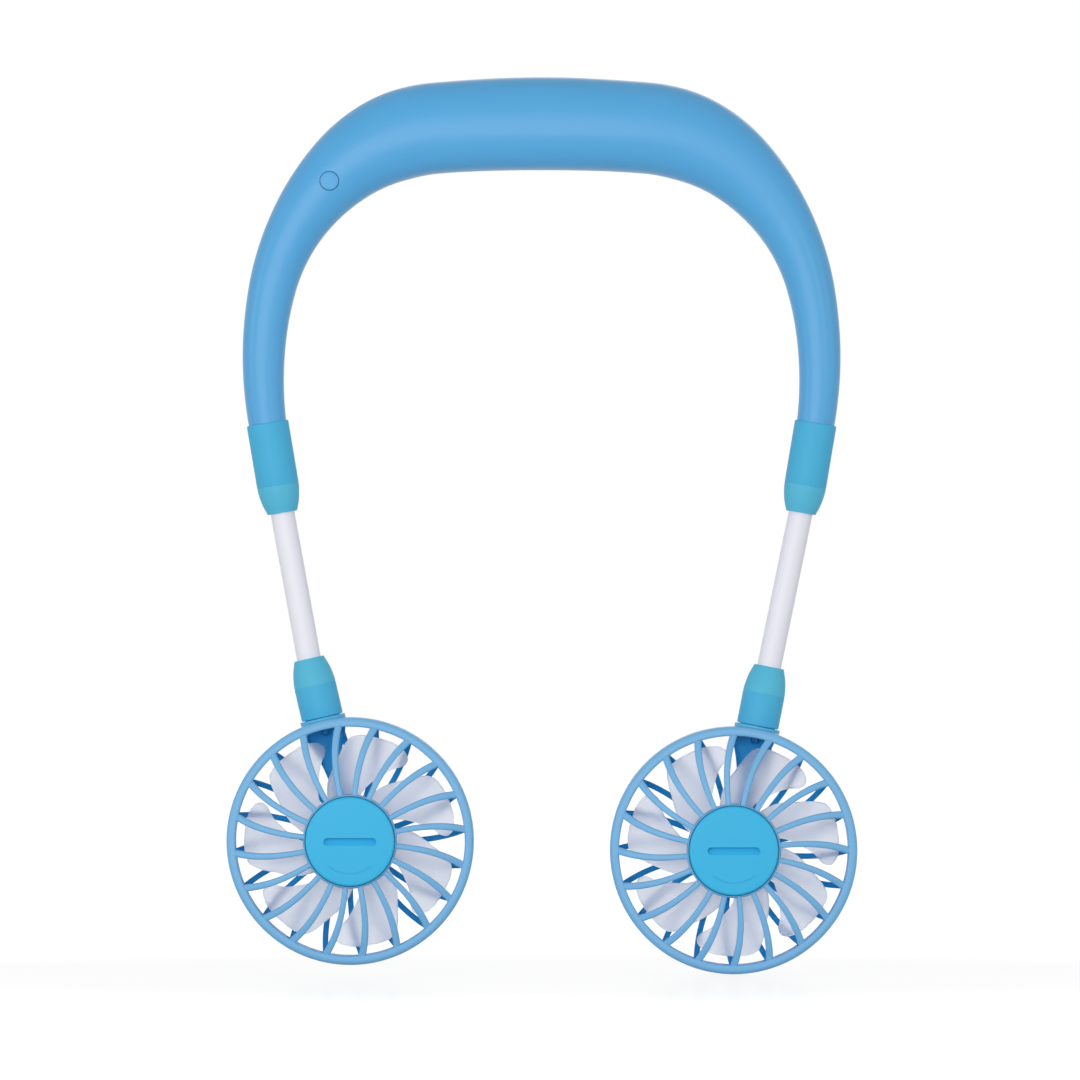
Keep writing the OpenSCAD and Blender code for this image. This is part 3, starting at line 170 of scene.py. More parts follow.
def lathe(profile, segments, closed=False):
    """Vertices and faces of a turned shape about local Z."""
    verts, rows = [], []
    for r, h in profile:
        if r < ON_AXIS:
            rows.append([len(verts)])
            verts.append((0.0, 0.0, h))
            continue
        row = []
        for k in range(segments):
            a = math.radians(360.0 * k / segments)
            row.append(len(verts))
            verts.append((r * math.cos(a), r * math.sin(a), h))
        rows.append(row)
    faces = []
    n = len(rows)
    for i in range(n if closed else n - 1):
        a, b = rows[i], rows[(i + 1) % n]
        if len(a) == 1 and len(b) == 1:
            continue
        for k in range(segments):
            m = (k + 1) % segments
            if len(a) == 1:
                faces.append((a[0], b[k], b[m]))
            elif len(b) == 1:
                faces.append((a[k], a[m], b[0]))
            else:
                faces.append((a[k], a[m], b[m], b[k]))
    return verts, faces


def turned(profile, steps, segments, closed=False):
    """A turned shape from an outline with rounded corners."""
    return lathe(fillet(profile, steps, closed), segments, closed)


def loft(rings, caps=True):
    """Joins rings of equal length into a skin."""
    n = len(rings[0])
    verts = [p for ring in rings for p in ring]
    faces = []
    for i in range(len(rings) - 1):
        for j in range(n):
            m = (j + 1) % n
            faces.append((i * n + j, i * n + m, (i + 1) * n + m, (i + 1) * n + j))
    if caps:
        faces.append(tuple(range(n - 1, -1, -1)))
        faces.append(tuple((len(rings) - 1) * n + j for j in range(n)))
    return verts, faces


def corner(x, y, radius, start, steps):
    """Points on a quarter of a circle from the angle start."""
    turns = [(start + 90 * k / steps) * RAD for k in range(steps + 1)]
    return [(x + radius * math.cos(a), y + radius * math.sin(a)) for a in turns]


def weld(ob, dist, angle, thin=True):
    """Joins vertices that meet and, where asked, drops edges that have shrunk to nothing."""
    bm = bmesh.new()
    bm.from_mesh(ob.data)
    bmesh.ops.remove_doubles(bm, verts=bm.verts, dist=dist)
    if thin:
        bmesh.ops.dissolve_degenerate(bm, dist=dist / 2, edges=bm.edges)
    bmesh.ops.recalc_face_normals(bm, faces=bm.faces)
    bm.to_mesh(ob.data)
    bm.free()
    return smooth(ob, angle)


def applied(ob):
    """Applies an object's modifiers to its mesh."""
    bpy.context.view_layer.update()
    graph = bpy.context.evaluated_depsgraph_get()
    me = bpy.data.meshes.new_from_object(ob.evaluated_get(graph))
    ob.modifiers.clear()
    old = ob.data
    ob.data = me
    bpy.data.meshes.remove(old)
    return ob


def cut(ob, *cutters):
    """Takes the cutters out of an object and removes them."""
    for c in cutters:
        m = ob.modifiers.new("cut", "BOOLEAN")
        m.operation = "DIFFERENCE"
        m.solver = "EXACT"
        m.object = c
    applied(ob)
    for c in cutters:
        me = c.data
        bpy.data.objects.remove(c)
        bpy.data.meshes.remove(me)
    return ob


def curve_table(values, share):
    """Reads a table at a share from 0 to 1, smoothly."""
    n = len(values) - 1
    u = max(0.0, min(1.0, share)) * n
    i = min(int(u), n - 1)
    t = u - i
    p1, p2 = values[i], values[i + 1]
    p0 = values[i - 1] if i > 0 else 2 * p1 - p2
    p3 = values[i + 2] if i + 2 <= n else 2 * p2 - p1
    return 0.5 * (
        2 * p1 + (p2 - p0) * t + (2 * p0 - 5 * p1 + 4 * p2 - p3) * t * t
        + (3 * p1 - p0 - 3 * p2 + p3) * t ** 3
    )


# The places of things, in millimetres and degrees, the same as in the CAD

# The arcs of the band's centre line, from its middle outwards
ARC_RADII = (404.3, 50.4, 71.6, 116.2)
ARC_SWEEPS = (4.7, 35.6, 37.2, 22.0)
# The band at even steps from its middle to its end
BAND_WIDTHS = (29.4, 29.3, 29.1, 28.9, 28.8, 28.3, 26.6, 24.3, 21.8,
               19.5, 17.5, 16.0, 15.0, 14.2, 13.6, 13.0, 12.4, 11.9)
BAND_DEPTHS = (24.6, 24.6, 24.5, 24.3, 23.8, 23.0, 21.9, 20.5, 19.0,
               17.6, 16.4, 15.4, 14.6, 13.9, 13.3, 12.8, 12.3, 11.9)
BAND_WALL = 1.8
# Power of the band's section in the middle; at its ends it is 2, which is round
SQUARENESS = 2.5
# Per side: each hose's length and lean, each stem's lean, each impeller's angle at rest
HOSE = {-1: (47.0, 10.3), 1: (49.8, 11.6)}
STEM_LEAN = {-1: 12.85, 1: 11.05}
FAN_ANGLE = {-1: 52.6, 1: 40.7}
# From a head's middle to the hose end of its sleeve, and to the outside of its ring
STEM = 59.0
RING = 39.05
SLEEVE_COVER, SLEEVE_LENGTH = 2.0, 28.7
SLEEVE_MOUTH = SLEEVE_COVER - SLEEVE_LENGTH


def arc_length(i):
    return ARC_RADII[i] * ARC_SWEEPS[i] * RAD


def spine(s):
    """(across, up, turn) on the right half's centre line."""
    x = z = a = 0.0
    for i, r in enumerate(ARC_RADII):
        last = i == len(ARC_RADII) - 1 or s <= arc_length(i)
        turn = s / r / RAD if last else ARC_SWEEPS[i]
        x += r * (math.sin((a + turn) * RAD) - math.sin(a * RAD))
        z += r * (math.cos((a + turn) * RAD) - math.cos(a * RAD))
        a += turn
        if last:
            return x, z, a
        s -= arc_length(i)


HALF = sum(arc_length(i) for i in range(len(ARC_RADII)))
END_LEAN = sum(ARC_SWEEPS) - 90


def along(side, lean):
    """The direction up and outwards on a side at a lean from the vertical."""
    return np.array([side * math.sin(lean * RAD), 0.0, math.cos(lean * RAD)])


def chain_drop(side):
    """How far a head's middle hangs below the top of the band's centre line."""
    length, lean = HOSE[side]
    return (
        -spine(HALF)[1] - SLEEVE_MOUTH * math.cos(END_LEAN * RAD)
        + length * math.cos(lean * RAD) + STEM * math.cos(STEM_LEAN[side] * RAD)
    )


TOP = RING + max(chain_drop(-1), chain_drop(1))
END = {s: np.array([s * spine(HALF)[0], 0.0, TOP + spine(HALF)[1]]) for s in (-1, 1)}
HOSE_TOP = {s: END[s] + SLEEVE_MOUTH * along(s, END_LEAN) for s in (-1, 1)}
HOSE_LOW = {s: HOSE_TOP[s] - HOSE[s][0] * along(s, HOSE[s][1]) for s in (-1, 1)}
HEAD = {s: HOSE_LOW[s] - STEM * along(s, STEM_LEAN[s]) for s in (-1, 1)}


def axis_frame(origin, side, lean):
    """(rotation, place) whose local Z runs up the lean, for the sleeves."""
    z = along(side, lean)
    y = np.array([0.0, 1.0, 0.0])
    x = np.cross(y, z)
    return np.stack([x, y, z], axis=1), np.array(origin)


def head_frame(side):
    """(rotation, place) of a head: local Z out of the front, local Y up the stem."""
    y = along(side, STEM_LEAN[side])
    z = np.array([0.0, -1.0, 0.0])
    x = np.cross(y, z)
    return np.stack([x, y, z], axis=1), np.array(HEAD[side])


def band_frame(s, side, back=False):
    """(rotation, place) on the band at s along it: local Z out of the front, or of the back."""
    x, z, turn = spine(s)
    t = np.array([math.cos(turn * RAD), 0.0, -side * math.sin(turn * RAD)])
    n = np.array([0.0, 1.0 if back else -1.0, 0.0])
    return np.stack([t, np.cross(n, t), n], axis=1), np.array([side * x, 0.0, TOP + z])


def half_width(s):
    return curve_table(BAND_WIDTHS, abs(s) / HALF) / 2


def half_depth(s):
    return curve_table(BAND_DEPTHS, abs(s) / HALF) / 2


def section_power(s):
    return SQUARENESS + (2 - SQUARENESS) * abs(s) / HALF


def band_point(s, inset, turn):
    """A point of the front half at s along the band, turned from its outer edge by an angle."""
    a = abs(s)
    x, z, lean = spine(a)
    n = section_power(a)
    c, d = math.cos(turn * RAD), math.sin(turn * RAD)
    c = math.copysign(abs(c) ** (2 / n), c) * (half_width(a) - inset)
    d = math.copysign(abs(d) ** (2 / n), d) * (half_depth(a) - inset)
    return (
        (-1 if s < 0 else 1) * (x + math.sin(lean * RAD) * c),
        -d,
        TOP + z + math.cos(lean * RAD) * c,
    )


# Materials

SPECULAR = 0.35
# Slow changes of tone and gloss over a surface: size of the noise, its detail, and how much
TONE_SCALE, TONE_DETAIL, TONE_CHANGE, GLOSS_CHANGE = 22.0, 3.0, 0.03, 0.1
# Grain: its detail, its depth in metres, and its size on each kind of surface
GRAIN_DETAIL, GRAIN_DEPTH = 2.0, 0.0002
GRAIN, SILICONE_GRAIN, FELT_GRAIN, BAND_GRAIN = 900.0, 1500.0, 2600.0, 4200.0


def srgb(r, g, b):
    """A screen colour, 0 to 255 per channel, as a shader takes it."""
    out = []
    for c in (r, g, b):
        c /= 255.0
        out.append(c / 12.92 if c <= 0.04045 else ((c + 0.055) / 1.055) ** 2.4)
    return (*out, 1.0)


def noise(nodes, links, coords, scale, detail):
    node = nodes.new("ShaderNodeTexNoise")
    node.inputs["Scale"].default_value = scale
    node.inputs["Detail"].default_value = detail
    links.new(coords.outputs["Object"], node.inputs["Vector"])
    return node.outputs["Fac"]


def spread(nodes, links, value, low, high):
    """Maps a value from 0 to 1 onto low to high."""
    node = nodes.new("ShaderNodeMapRange")
    node.inputs["To Min"].default_value = low
    node.inputs["To Max"].default_value = high
    links.new(value, node.inputs["Value"])
    return node.outputs["Result"]


def material(name, colour, rough, bump=0.0, grain=GRAIN, **extra):
    """Plastic, silicone or metal with fine grain, and slight changes of tone and gloss."""
    mat = bpy.data.materials.new(name)
    mat.use_nodes = True
    nodes, links = mat.node_tree.nodes, mat.node_tree.links
    shader = nodes["Principled BSDF"]
    shader.inputs["Roughness"].default_value = rough
    shader.inputs["Specular IOR Level"].default_value = SPECULAR
    for key, value in extra.items():
        shader.inputs[key.replace("_", " ")].default_value = value
    coords = nodes.new("ShaderNodeTexCoord")
    broad = noise(nodes, links, coords, TONE_SCALE, TONE_DETAIL)
    tone = spread(nodes, links, broad, 1.0 - TONE_CHANGE, 1.0 + TONE_CHANGE)
    paint = nodes.new("ShaderNodeMix")
    paint.data_type = "RGBA"
    paint.blend_type = "MULTIPLY"
    paint.inputs["Factor"].default_value = 1.0
    paint.inputs["A"].default_value = colour
    links.new(tone, paint.inputs["B"])
    links.new(paint.outputs["Result"], shader.inputs["Base Color"])
    gloss = spread(
        nodes, links, broad, rough * (1 - GLOSS_CHANGE), min(1.0, rough * (1 + GLOSS_CHANGE))
    )
    links.new(gloss, shader.inputs["Roughness"])
    if bump > 0:
        relief = nodes.new("ShaderNodeBump")
        relief.inputs["Strength"].default_value = bump
        relief.inputs["Distance"].default_value = GRAIN_DEPTH
        links.new(noise(nodes, links, coords, grain, GRAIN_DETAIL), relief.inputs["Height"])
        links.new(relief.outputs["Normal"], shader.inputs["Normal"])
    return mat


SILICONE = {"rough": 0.55, "bump": 0.08, "grain": SILICONE_GRAIN}
BAND = material("band_plastic", srgb(86, 172, 227), 0.34, 0.05, BAND_GRAIN)
SLEEVE = material("sleeve_silicone", srgb(72, 181, 224), **SILICONE)
SLEEVE_END = material("sleeve_silicone_end", srgb(86, 189, 222), **SILICONE)
HOSE_SKIN = material("hose_silicone", srgb(242, 242, 251), 0.42, 0.05, SILICONE_GRAIN)
GUARD = material("guard_plastic", srgb(120, 184, 230), 0.4, 0.04)
SOCKET = material("socket_plastic", srgb(82, 184, 226), 0.45, 0.04)
DEEP = material("deep_blue_plastic", srgb(4, 149, 214), 0.42, 0.04, Specular_IOR_Level=0.2)
BLADE = material(
    "blade_plastic", srgb(244, 246, 252), 0.72, 0.03, Transmission_Weight=0.8, IOR=1.27
)
CAP = material("cap_plastic", srgb(55, 188, 236), 0.42, 0.06, Specular_IOR_Level=0.25)
BUTTON = material("button_plastic", srgb(88, 174, 230), 0.4, 0.04)
DARK_GAP = material("black_insulation", srgb(40, 42, 46), 0.6)
BLUE_COVER = material("blue_insulation", srgb(14, 136, 198), 0.55, 0.05, SILICONE_GRAIN)
STEEL = material("nickel_steel", srgb(196, 198, 202), 0.3, Metallic=1.0)
SCREW = material("screw_steel", srgb(150, 152, 158), 0.35, Metallic=1.0)
INNER = material("inner_plastic", srgb(226, 228, 230), 0.5)
FELT = material("pad_felt", srgb(238, 232, 214), 0.95, 0.6, FELT_GRAIN)
BOARD = material("circuit_board", srgb(20, 92, 50), 0.45)
CELL = material("cell_wrap", srgb(52, 128, 114), 0.4)
LIGHT_GUIDE = material("light_guide", srgb(236, 240, 244), 0.25)

PAINT = {
    "band_front_shell": BAND, "band_rear_shell": BAND, "battery_cell": CELL,
    "battery_cradle": INNER, "battery_leads": DARK_GAP, "control_board": BOARD,
    "push_switch": DARK_GAP, "charge_port": STEEL, "charge_light": LIGHT_GUIDE,
    "band_screws": SCREW, "power_button": BUTTON, "end_plug": BAND,
    "upper_sleeve": SLEEVE, "upper_ferrule": STEEL, "band_cable": DARK_GAP,
    "hose_skin": HOSE_SKIN, "hose_cable": DARK_GAP, "lower_ferrule": STEEL,
    "lower_sleeve": SLEEVE, "stem_socket": SOCKET, "front_guard": GUARD,
    "rear_guard": DEEP, "head_cable": BLUE_COVER, "motor_can": STEEL,
    "motor_shaft": SCREW, "impeller": BLADE, "pad_tray": INNER,
    "aroma_pad": FELT, "aroma_cap": CAP,
}
for node_name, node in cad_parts.items():
    key = node_name.replace("left_", "").replace("right_", "")
    paint = STEEL if key.startswith("hose_link") else PAINT[key]
    node.data.materials.clear()
    node.data.materials.append(paint)
    smooth(node, NODE_SMOOTH)


def piece(ob, mat, body, slot, *nodes):
    """Dresses a piece, lets it ride on a body, and hides the part's nodes, which it takes the place
    of.
    """
    ob.data.materials.clear()
    ob.data.materials.append(mat)
    if body:
        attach(ob, body)
    if nodes:
        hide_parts(*nodes)
    return ob


# The band

# Steps along the shells, round their outside and round their inside
ALONG, ROUND, INNER_ROUND = 220, 76, 12
# The parting line's groove in one shell: its width and its depth
GROOVE, GROOVE_DEPTH = 0.14, 0.3
# How much closer together the points are at the parting line
CROWDING = 0.35
# A point this near to the skin, in metres, lies on it, and a face whose normal agrees this
# well with the skin's takes that one
ON_SKIN, SKIN_LEAN = 4e-6, 0.8


def shell_half(name, back):
    """One half of the band as a closed shell with a fine groove at its parting line.

    With it come the points of its outer skin, in metres, and the skin's normals there."""
    flip = -1.0 if back else 1.0
    stations = [(2 * i / ALONG - 1) * HALF for i in range(ALONG + 1)]
    rings, outer = [], []
    for s in stations:
        edge = math.asin((GROOVE / half_depth(s)) ** (section_power(s) / 2)) / RAD
        ring = [band_point(s, GROOVE_DEPTH, 0)]
        for j in range(ROUND + 1):
            u = j / ROUND
            u -= CROWDING * math.sin(TURN * u) / TURN
            ring.append(band_point(s, 0, edge + (180 - 2 * edge) * u))
        ring.append(band_point(s, GROOVE_DEPTH, 180))
        for j in range(INNER_ROUND + 1):
            ring.append(band_point(s, BAND_WALL, 180 - 180 / INNER_ROUND * j))
        ring = [(x, y * flip, z) for x, y, z in ring]
        rings.append(ring)
        outer.append(ring[1:ROUND + 2])
    ob = Shape().add(*loft(rings)).build(name)
    grid = np.array(outer)
    normal = np.cross(np.gradient(grid, axis=1), np.gradient(grid, axis=0))
    normal /= np.linalg.norm(normal, axis=2, keepdims=True)
    centre = np.array([[spine(abs(s))] * (ROUND + 1) for s in stations])
    side = np.sign(np.arange(ALONG + 1) - ALONG / 2)[:, None]
    across, up = centre[..., 0], centre[..., 1]
    outward = grid - np.stack([across * side, 0 * across, TOP + up], axis=-1)
    if float((normal * outward).sum(axis=2).mean()) < 0:
        normal = -normal
    return ob, grid * MM, normal


def keep_normals(ob, grid, normal):
    """Gives faces on the smooth outer skin the skin's normals, so that a cut leaves no ripple."""
    rows, cols = grid.shape[:2]
    verts = [Vector(p) for p in grid.reshape(-1, 3)]
    flat = normal.reshape(-1, 3)
    polys = []
    for i in range(rows - 1):
        for j in range(cols - 1):
            a, b = i * cols + j, (i + 1) * cols + j
            polys.append((a, a + 1, b + 1, b))
    tree = BVHTree.FromPolygons(verts, polys)
    me = ob.data
    found = []
    for v in me.vertices:
        co, _, index, dist = tree.find_nearest(v.co)
        if dist > ON_SKIN:
            found.append(None)
            continue
        corners = polys[index]
        weights = poly_3d_calc([verts[c] for c in corners], co)
        n = sum((w * flat[c] for w, c in zip(weights, corners)), np.zeros(3))
        found.append(n / np.linalg.norm(n))
    loops = [(0.0, 0.0, 0.0)] * len(me.loops)
    for p in me.polygons:
        hits = [found[v] for v in p.vertices]
        if any(h is None for h in hits):
            continue
        mean = sum(hits) / len(hits)
        if float(np.dot(mean, np.array(p.normal))) < SKIN_LEAN:
            continue
        for k, h in zip(p.loop_indices, hits):
            loops[k] = tuple(float(c) for c in h)
    me.normals_split_custom_set(loops)


CUT_SIDES = 64


def slot_cutter(name, frame_of, radius, width, low, high, drop=0.0, slope=0.0):
    """A cutter with a round outline, or one drawn out by the width, whose floor may slope."""
    rings = []
    for h, fall in ((low, slope), (high, 0.0)):
        ring = []
        for k in range(CUT_SIDES):
            a = TURN * k / CUT_SIDES
            x = radius * math.cos(a) + math.copysign(width / 2, math.cos(a))
            ring.append((x, radius * math.sin(a) - drop, h - fall * math.sin(a)))
        rings.append(ring)
    return Shape().add(*loft(rings)).build(name, frame_of)


# Where the button, the charging socket, the charge light and the screws are along the band
BUTTON_S, PORT_S, LIGHT_S = 71.9, 77.5, 65.5
SCREWS = (46.0, 103.5)
# Their holes: radii, the socket's width beyond round, and the heights of the cutters' ends
BUTTON_HOLE, PORT_HOLE, LIGHT_HOLE, SCREW_HOLE = 3.1, 2.0, 1.3, 2.05
PORT_WIDTH = 5.6
BUTTON_LOW, REAR_LOW, SCREW_LOW, CUT_HIGH = 2.0, 2.9, 1.7, 20.0

front, front_grid, front_normal = shell_half("band_front", False)
cut(front, slot_cutter(
    "cut_button", band_frame(BUTTON_S, -1), BUTTON_HOLE, 0.0, BUTTON_LOW, CUT_HIGH
))
keep_normals(front, front_grid, front_normal)
piece(front, BAND, "band", "band_plastic", "band_front_shell")

rear, rear_grid, rear_normal = shell_half("band_rear", True)
holes = [
    ("cut_port", PORT_S, -1, PORT_HOLE, PORT_WIDTH, REAR_LOW),
    ("cut_light", LIGHT_S, -1, LIGHT_HOLE, 0.0, REAR_LOW),
]
for side in (-1, 1):
    for s in SCREWS:
        holes.append((f"cut_screw_{side}_{s}", s, side, SCREW_HOLE, 0.0, SCREW_LOW))
cut(rear, *[
    slot_cutter(name, band_frame(s, side, True), radius, width, low, CUT_HIGH)
    for name, s, side, radius, width, low in holes
])
keep_normals(rear, rear_grid, rear_normal)
piece(rear, BAND, "band", "band_plastic", "band_rear_shell")

# Walls of the holes, so that nothing shows of the hollow behind them

# A screw's well: radius and height of its seat, and how far it stops short of the skin
SEAT_RADIUS, SEAT_HEIGHT, WELL_STOP = 1.1, 1.55, 0.6
# The button's well: height and radius of its foot, and how far it stops short of the skin
FOOT_HEIGHT, FOOT_RADIUS, BUTTON_STOP = 6.3, 4.5, 0.7


def add_well(shape, frame_of, profile, segments):
    rot, place = frame_of
    verts, faces = lathe(profile, segments)
    shape.add(np.array(verts) @ rot.T + place, faces)


wells = Shape()
for side in (-1, 1):
    for s in SCREWS:
        add_well(wells, band_frame(s, side, True), [
            (SEAT_RADIUS, SEAT_HEIGHT), (SCREW_HOLE, SEAT_HEIGHT),
            (SCREW_HOLE, half_depth(s) - WELL_STOP),
        ], segments=40)
add_well(wells, band_frame(BUTTON_S, -1), [
    (BUTTON_HOLE, half_depth(BUTTON_S) - BUTTON_STOP), (BUTTON_HOLE, FOOT_HEIGHT),
    (FOOT_RADIUS, FOOT_HEIGHT),
], segments=48)
piece(wells.build("band_wells"), BAND, "band", "band_plastic")

# The button: a shallow crown with a rounded edge, as (radius, height, rounding), and its flange
CROWN = ((0, 9.92, 0), (2.0, 9.9, 3.0), (2.93, 9.78, 0.3), (2.93, 5.5, 0), (0, 5.5, 0))
FLANGE = ((0, 4.75), (3.9, 4.75), (3.9, 5.6), (2.8, 5.6))

shape = Shape().add(*turned(CROWN, steps=5, segments=64))
shape.add(*lathe(FLANGE, segments=48))
button = shape.build("button_cap", band_frame(BUTTON_S, -1), CURVED)
piece(button, BUTTON, "button", "band_plastic", "power_button")

# Sleeves

# Radii over the tapered end, and its length
TAPER = (6.65, 6.55, 6.35, 6.1, 5.75, 5.25, 4.75)
TAPER_LENGTH, TAPER_STEPS = 8.6, 20
# The seam where it begins: radii, and how far along
SEAM = ((6.65, -0.3), (6.58, -0.1), (6.58, 0.1), (6.645, 0.3))
# Outlines as (radius, height): from the wide end to the taper, and the bore there
UPPER_RIM = (
    (6.12, 1.2), (6.12, 1.75), (6.3, 2.0), (6.45, 1.97),
    (6.6, 1.78), (6.65, 1.45), (6.65, -4.0), (6.65, -12.0),
)
UPPER_BORE = ((4.7, -5.15), (6.12, -5.15))
LOWER_RIM = (
    (5.72, 40.4), (5.72, 40.1), (6.3, 40.0), (6.55, 40.12), (6.65, 40.45), (6.65, 46.0),
)
# Outlines of the mouth as (radius, depth in it)
UPPER_MOUTH = ((4.6, -0.06), (4.2, 0.0), (3.95, 0.25), (3.92, 3.0), (4.7, 6.1))
LOWER_MOUTH = ((4.6, -0.06), (4.25, 0.0), (4.05, 0.25), (4.0, 3.0), (4.3, 6.1), (5.72, 6.1))


def sleeve(name, body, cad, frame_of, rim, end, way, mouth, bore=()):
    """A sleeve from its rim to its mouth at the height end, with its taper in a lighter tone."""
    seam = end - way * TAPER_LENGTH
    outline = [*rim, *((r, seam + way * d) for r, d in SEAM)]
    for k in range(1, TAPER_STEPS + 1):
        h = seam + way * TAPER_LENGTH * k / TAPER_STEPS
        outline.append((curve_table(TAPER, k / TAPER_STEPS), h))
    outline += [(r, end - way * d) for r, d in mouth]
    outline += bore
    shape = Shape().add(*lathe(outline, segments=96, closed=True))
    ob = shape.build(name, frame_of, CURVED)
    piece(ob, SLEEVE, body, "sleeve_silicone", cad)
    ob.data.materials.append(SLEEVE_END)
    rot, place = frame_of
    for p in ob.data.polygons:
        h = float((np.array(p.center) / MM - place) @ rot[:, 2])
        p.material_index = 1 if (h - seam) * way > 0 else 0


for name, side in SIDES:
    sleeve(
        f"{name}_sleeve_top", "band", f"{name}_upper_sleeve", axis_frame(END[side], side, END_LEAN),
        UPPER_RIM, SLEEVE_MOUTH, -1, UPPER_MOUTH, UPPER_BORE,
    )
    sleeve(
        f"{name}_sleeve_low", f"{name}_head", f"{name}_lower_sleeve",
        axis_frame(HEAD[side], side, STEM_LEAN[side]), LOWER_RIM, STEM, 1, LOWER_MOUTH,
    )

# The soft skin of each arm, and the cable in it, in six stretches

STRETCHES, STRETCH_STEPS = 6, 14
# How far each reaches into the upper and the lower sleeve, in quarters of the way
REACH = {"skin": (5.6, 5.6), "cable": (25.2, 21.3)}
QUARTERS = (0.25, 0.5, 0.75, 1.0)
SKIN_OUTSIDE, SKIN_INSIDE, CABLE_RADIUS = 3.8, 3.05, 0.8
SKIN_SIDES, CABLE_SIDES = 48, 12
SKIN_WELD = 1e-7


def hose_rings(points, radius, sides):
    """Round sections along points that lean sideways only."""
    fore = np.array([0, 1.0, 0])
    turns = [TURN * k / sides for k in range(sides)]
    rings = []
    for i, p in enumerate(points):
        t = points[min(i + 1, len(points) - 1)] - points[max(i - 1, 0)]
        u = np.cross(fore, t / np.linalg.norm(t))
        rings.append([p + radius * (math.cos(a) * u + math.sin(a) * fore) for a in turns])
    return rings


for name, side in SIDES:
    length, lean = HOSE[side]
    up = along(side, lean)
    for k in range(STRETCHES):
        high, low = -length * k / STRETCHES, -length * (k + 1) / STRETCHES
        middle = [
            HOSE_TOP[side] + up * (high + (low - high) * j / STRETCH_STEPS)
            for j in range(STRETCH_STEPS + 1)
        ]
        for tag, mat, slot_name in (
            ("skin", HOSE_SKIN, "white_silicone"), ("cable", DARK_GAP, "black_insulation"),
        ):
            above, below = REACH[tag]
            run = middle
            if k == 0:
                way = along(side, END_LEAN) * above
                run = [HOSE_TOP[side] + way * t for t in reversed(QUARTERS)] + run
            if k == STRETCHES - 1:
                way = along(side, STEM_LEAN[side]) * below
                run = run + [HOSE_LOW[side] - way * t for t in QUARTERS]
            if tag == "skin":
                outside = hose_rings(run, SKIN_OUTSIDE, SKIN_SIDES)
                inside = hose_rings(run, SKIN_INSIDE, SKIN_SIDES)
                skin = loft(outside + inside[::-1] + outside[:1], caps=False)
            else:
                skin = loft(hose_rings(run, CABLE_RADIUS, CABLE_SIDES))
            ob = Shape().add(*skin).build(f"{name}_{tag}_{k + 1}", None, HOSE_SMOOTH)
            if tag == "skin":
                weld(ob, SKIN_WELD, HOSE_SMOOTH, thin=False)
            piece(ob, mat, None, slot_name, f"{name}_hose_{tag}")
            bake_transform(ob)

# Heads, each in its own frame: Z out of the front, Y up the stem

RIBS, RIB_SWEEP, RIB_PHASE, RIB_CURVE = 20, 6.75, 7.25, 1.9
# Steps along a rib, the rounding of its foot, and steps round its crest's and its foot's corners
RIB_STEPS, RIB_FOOT, CREST_STEPS, FOOT_STEPS = 26, 0.3, 6, 2
HUB = 14.9
# Per guard: where its ribs begin and end, their widths there, the way they sweep, their crests
# over a span of radii, their depth, their side of the parting plane, and the crest's rounding
# as a share of half the width
FRONT_RIBS = {
    "inner": HUB - 0.4, "outer": 36.95, "widths": (1.7, 2.3), "way": 1,
    "crests": (15, 14.7, 14, 12.8, 10.6), "span": (HUB - 0.1, 36.975),
    "depth": 2.6, "flip": 1, "soft": 0.62,
}
REAR_RIBS = {
    "inner": 10.6, "outer": 36.7, "widths": (1.8, 1.8), "way": -1,
    "crests": (12.6, 12.3, 11.7, 10.8, 9.5), "span": (10.4, 36.8),
    "depth": 2.2, "flip": -1, "soft": 0.55,
}
# Outlines as (radius, height, rounding)
FRONT_RING = (
    (37.4, 0.1, 0), (39.05, 0.1, 0.15), (39.05, 11.0, 2.1),
    (36.15, 11.0, 0.65), (36.15, 8.0, 0.3), (37.4, 8.0, 0),
)
HUB_CUP = (
    (0, 9.0, 0), (13.7, 9.0, 0.3), (14.9, 10.2, 0.4), (14.9, 14.6, 0.5),
    (14.5, 15.5, 0.1), (14.3, 15.5, 0.08), (14.3, 10.2, 0.3), (0, 10.2, 0),
)
REAR_RING = (
    (36.3, -9.5, 0.4), (39.0, -9.5, 2.0), (39.0, 0.0, 0.12),
    (37.3, 0.0, 0), (37.3, 3.4, 0.2), (36.3, 3.4, 0.2),
)
MOTOR_CUP = (
    (0, -14.6, 0), (11.2, -14.6, 1.4), (11.2, -6.6, 0.3),
    (9.6, -6.6, 0.2), (9.6, -13.4, 0.2), (0, -13.4, 0),
)
CABLE_COLLAR = ((0.85, -6.6, 0), (1.45, -6.6, 0), (1.2, -5.95, 0.2), (0.85, -5.95, 0.1))
SPINNER = (
    (1.02, 4.6, 0.1), (2.4, 4.6, 0.1), (2.4, 5.5, 0.2), (10.7, 5.5, 0.6),
    (10.7, -5.4, 0.2), (12.3, -5.4, 0.2), (12.3, 7.5, 1.1), (1.02, 7.5, 0.1),
)
CAP_FACE = (
    (0, 11.7, 0), (1.6, 11.7, 0.2), (1.6, 13.7, 0.1),
    (14.1, 13.7, 0.2), (14.1, 16.4, 0.8), (0, 16.4, 0),
)
COLLAR_STATION = 35.1
VENTS, VENT_RADIUS, VENT_STATION, VENT_LOW, VENT_HIGH = 8, 1.4, 8.4, 8.0, 12.0


def clockwise(r, angle):
    """A point of a head's plane at an angle clockwise from the stem."""
    return r * math.sin(angle * RAD), r * math.cos(angle * RAD)


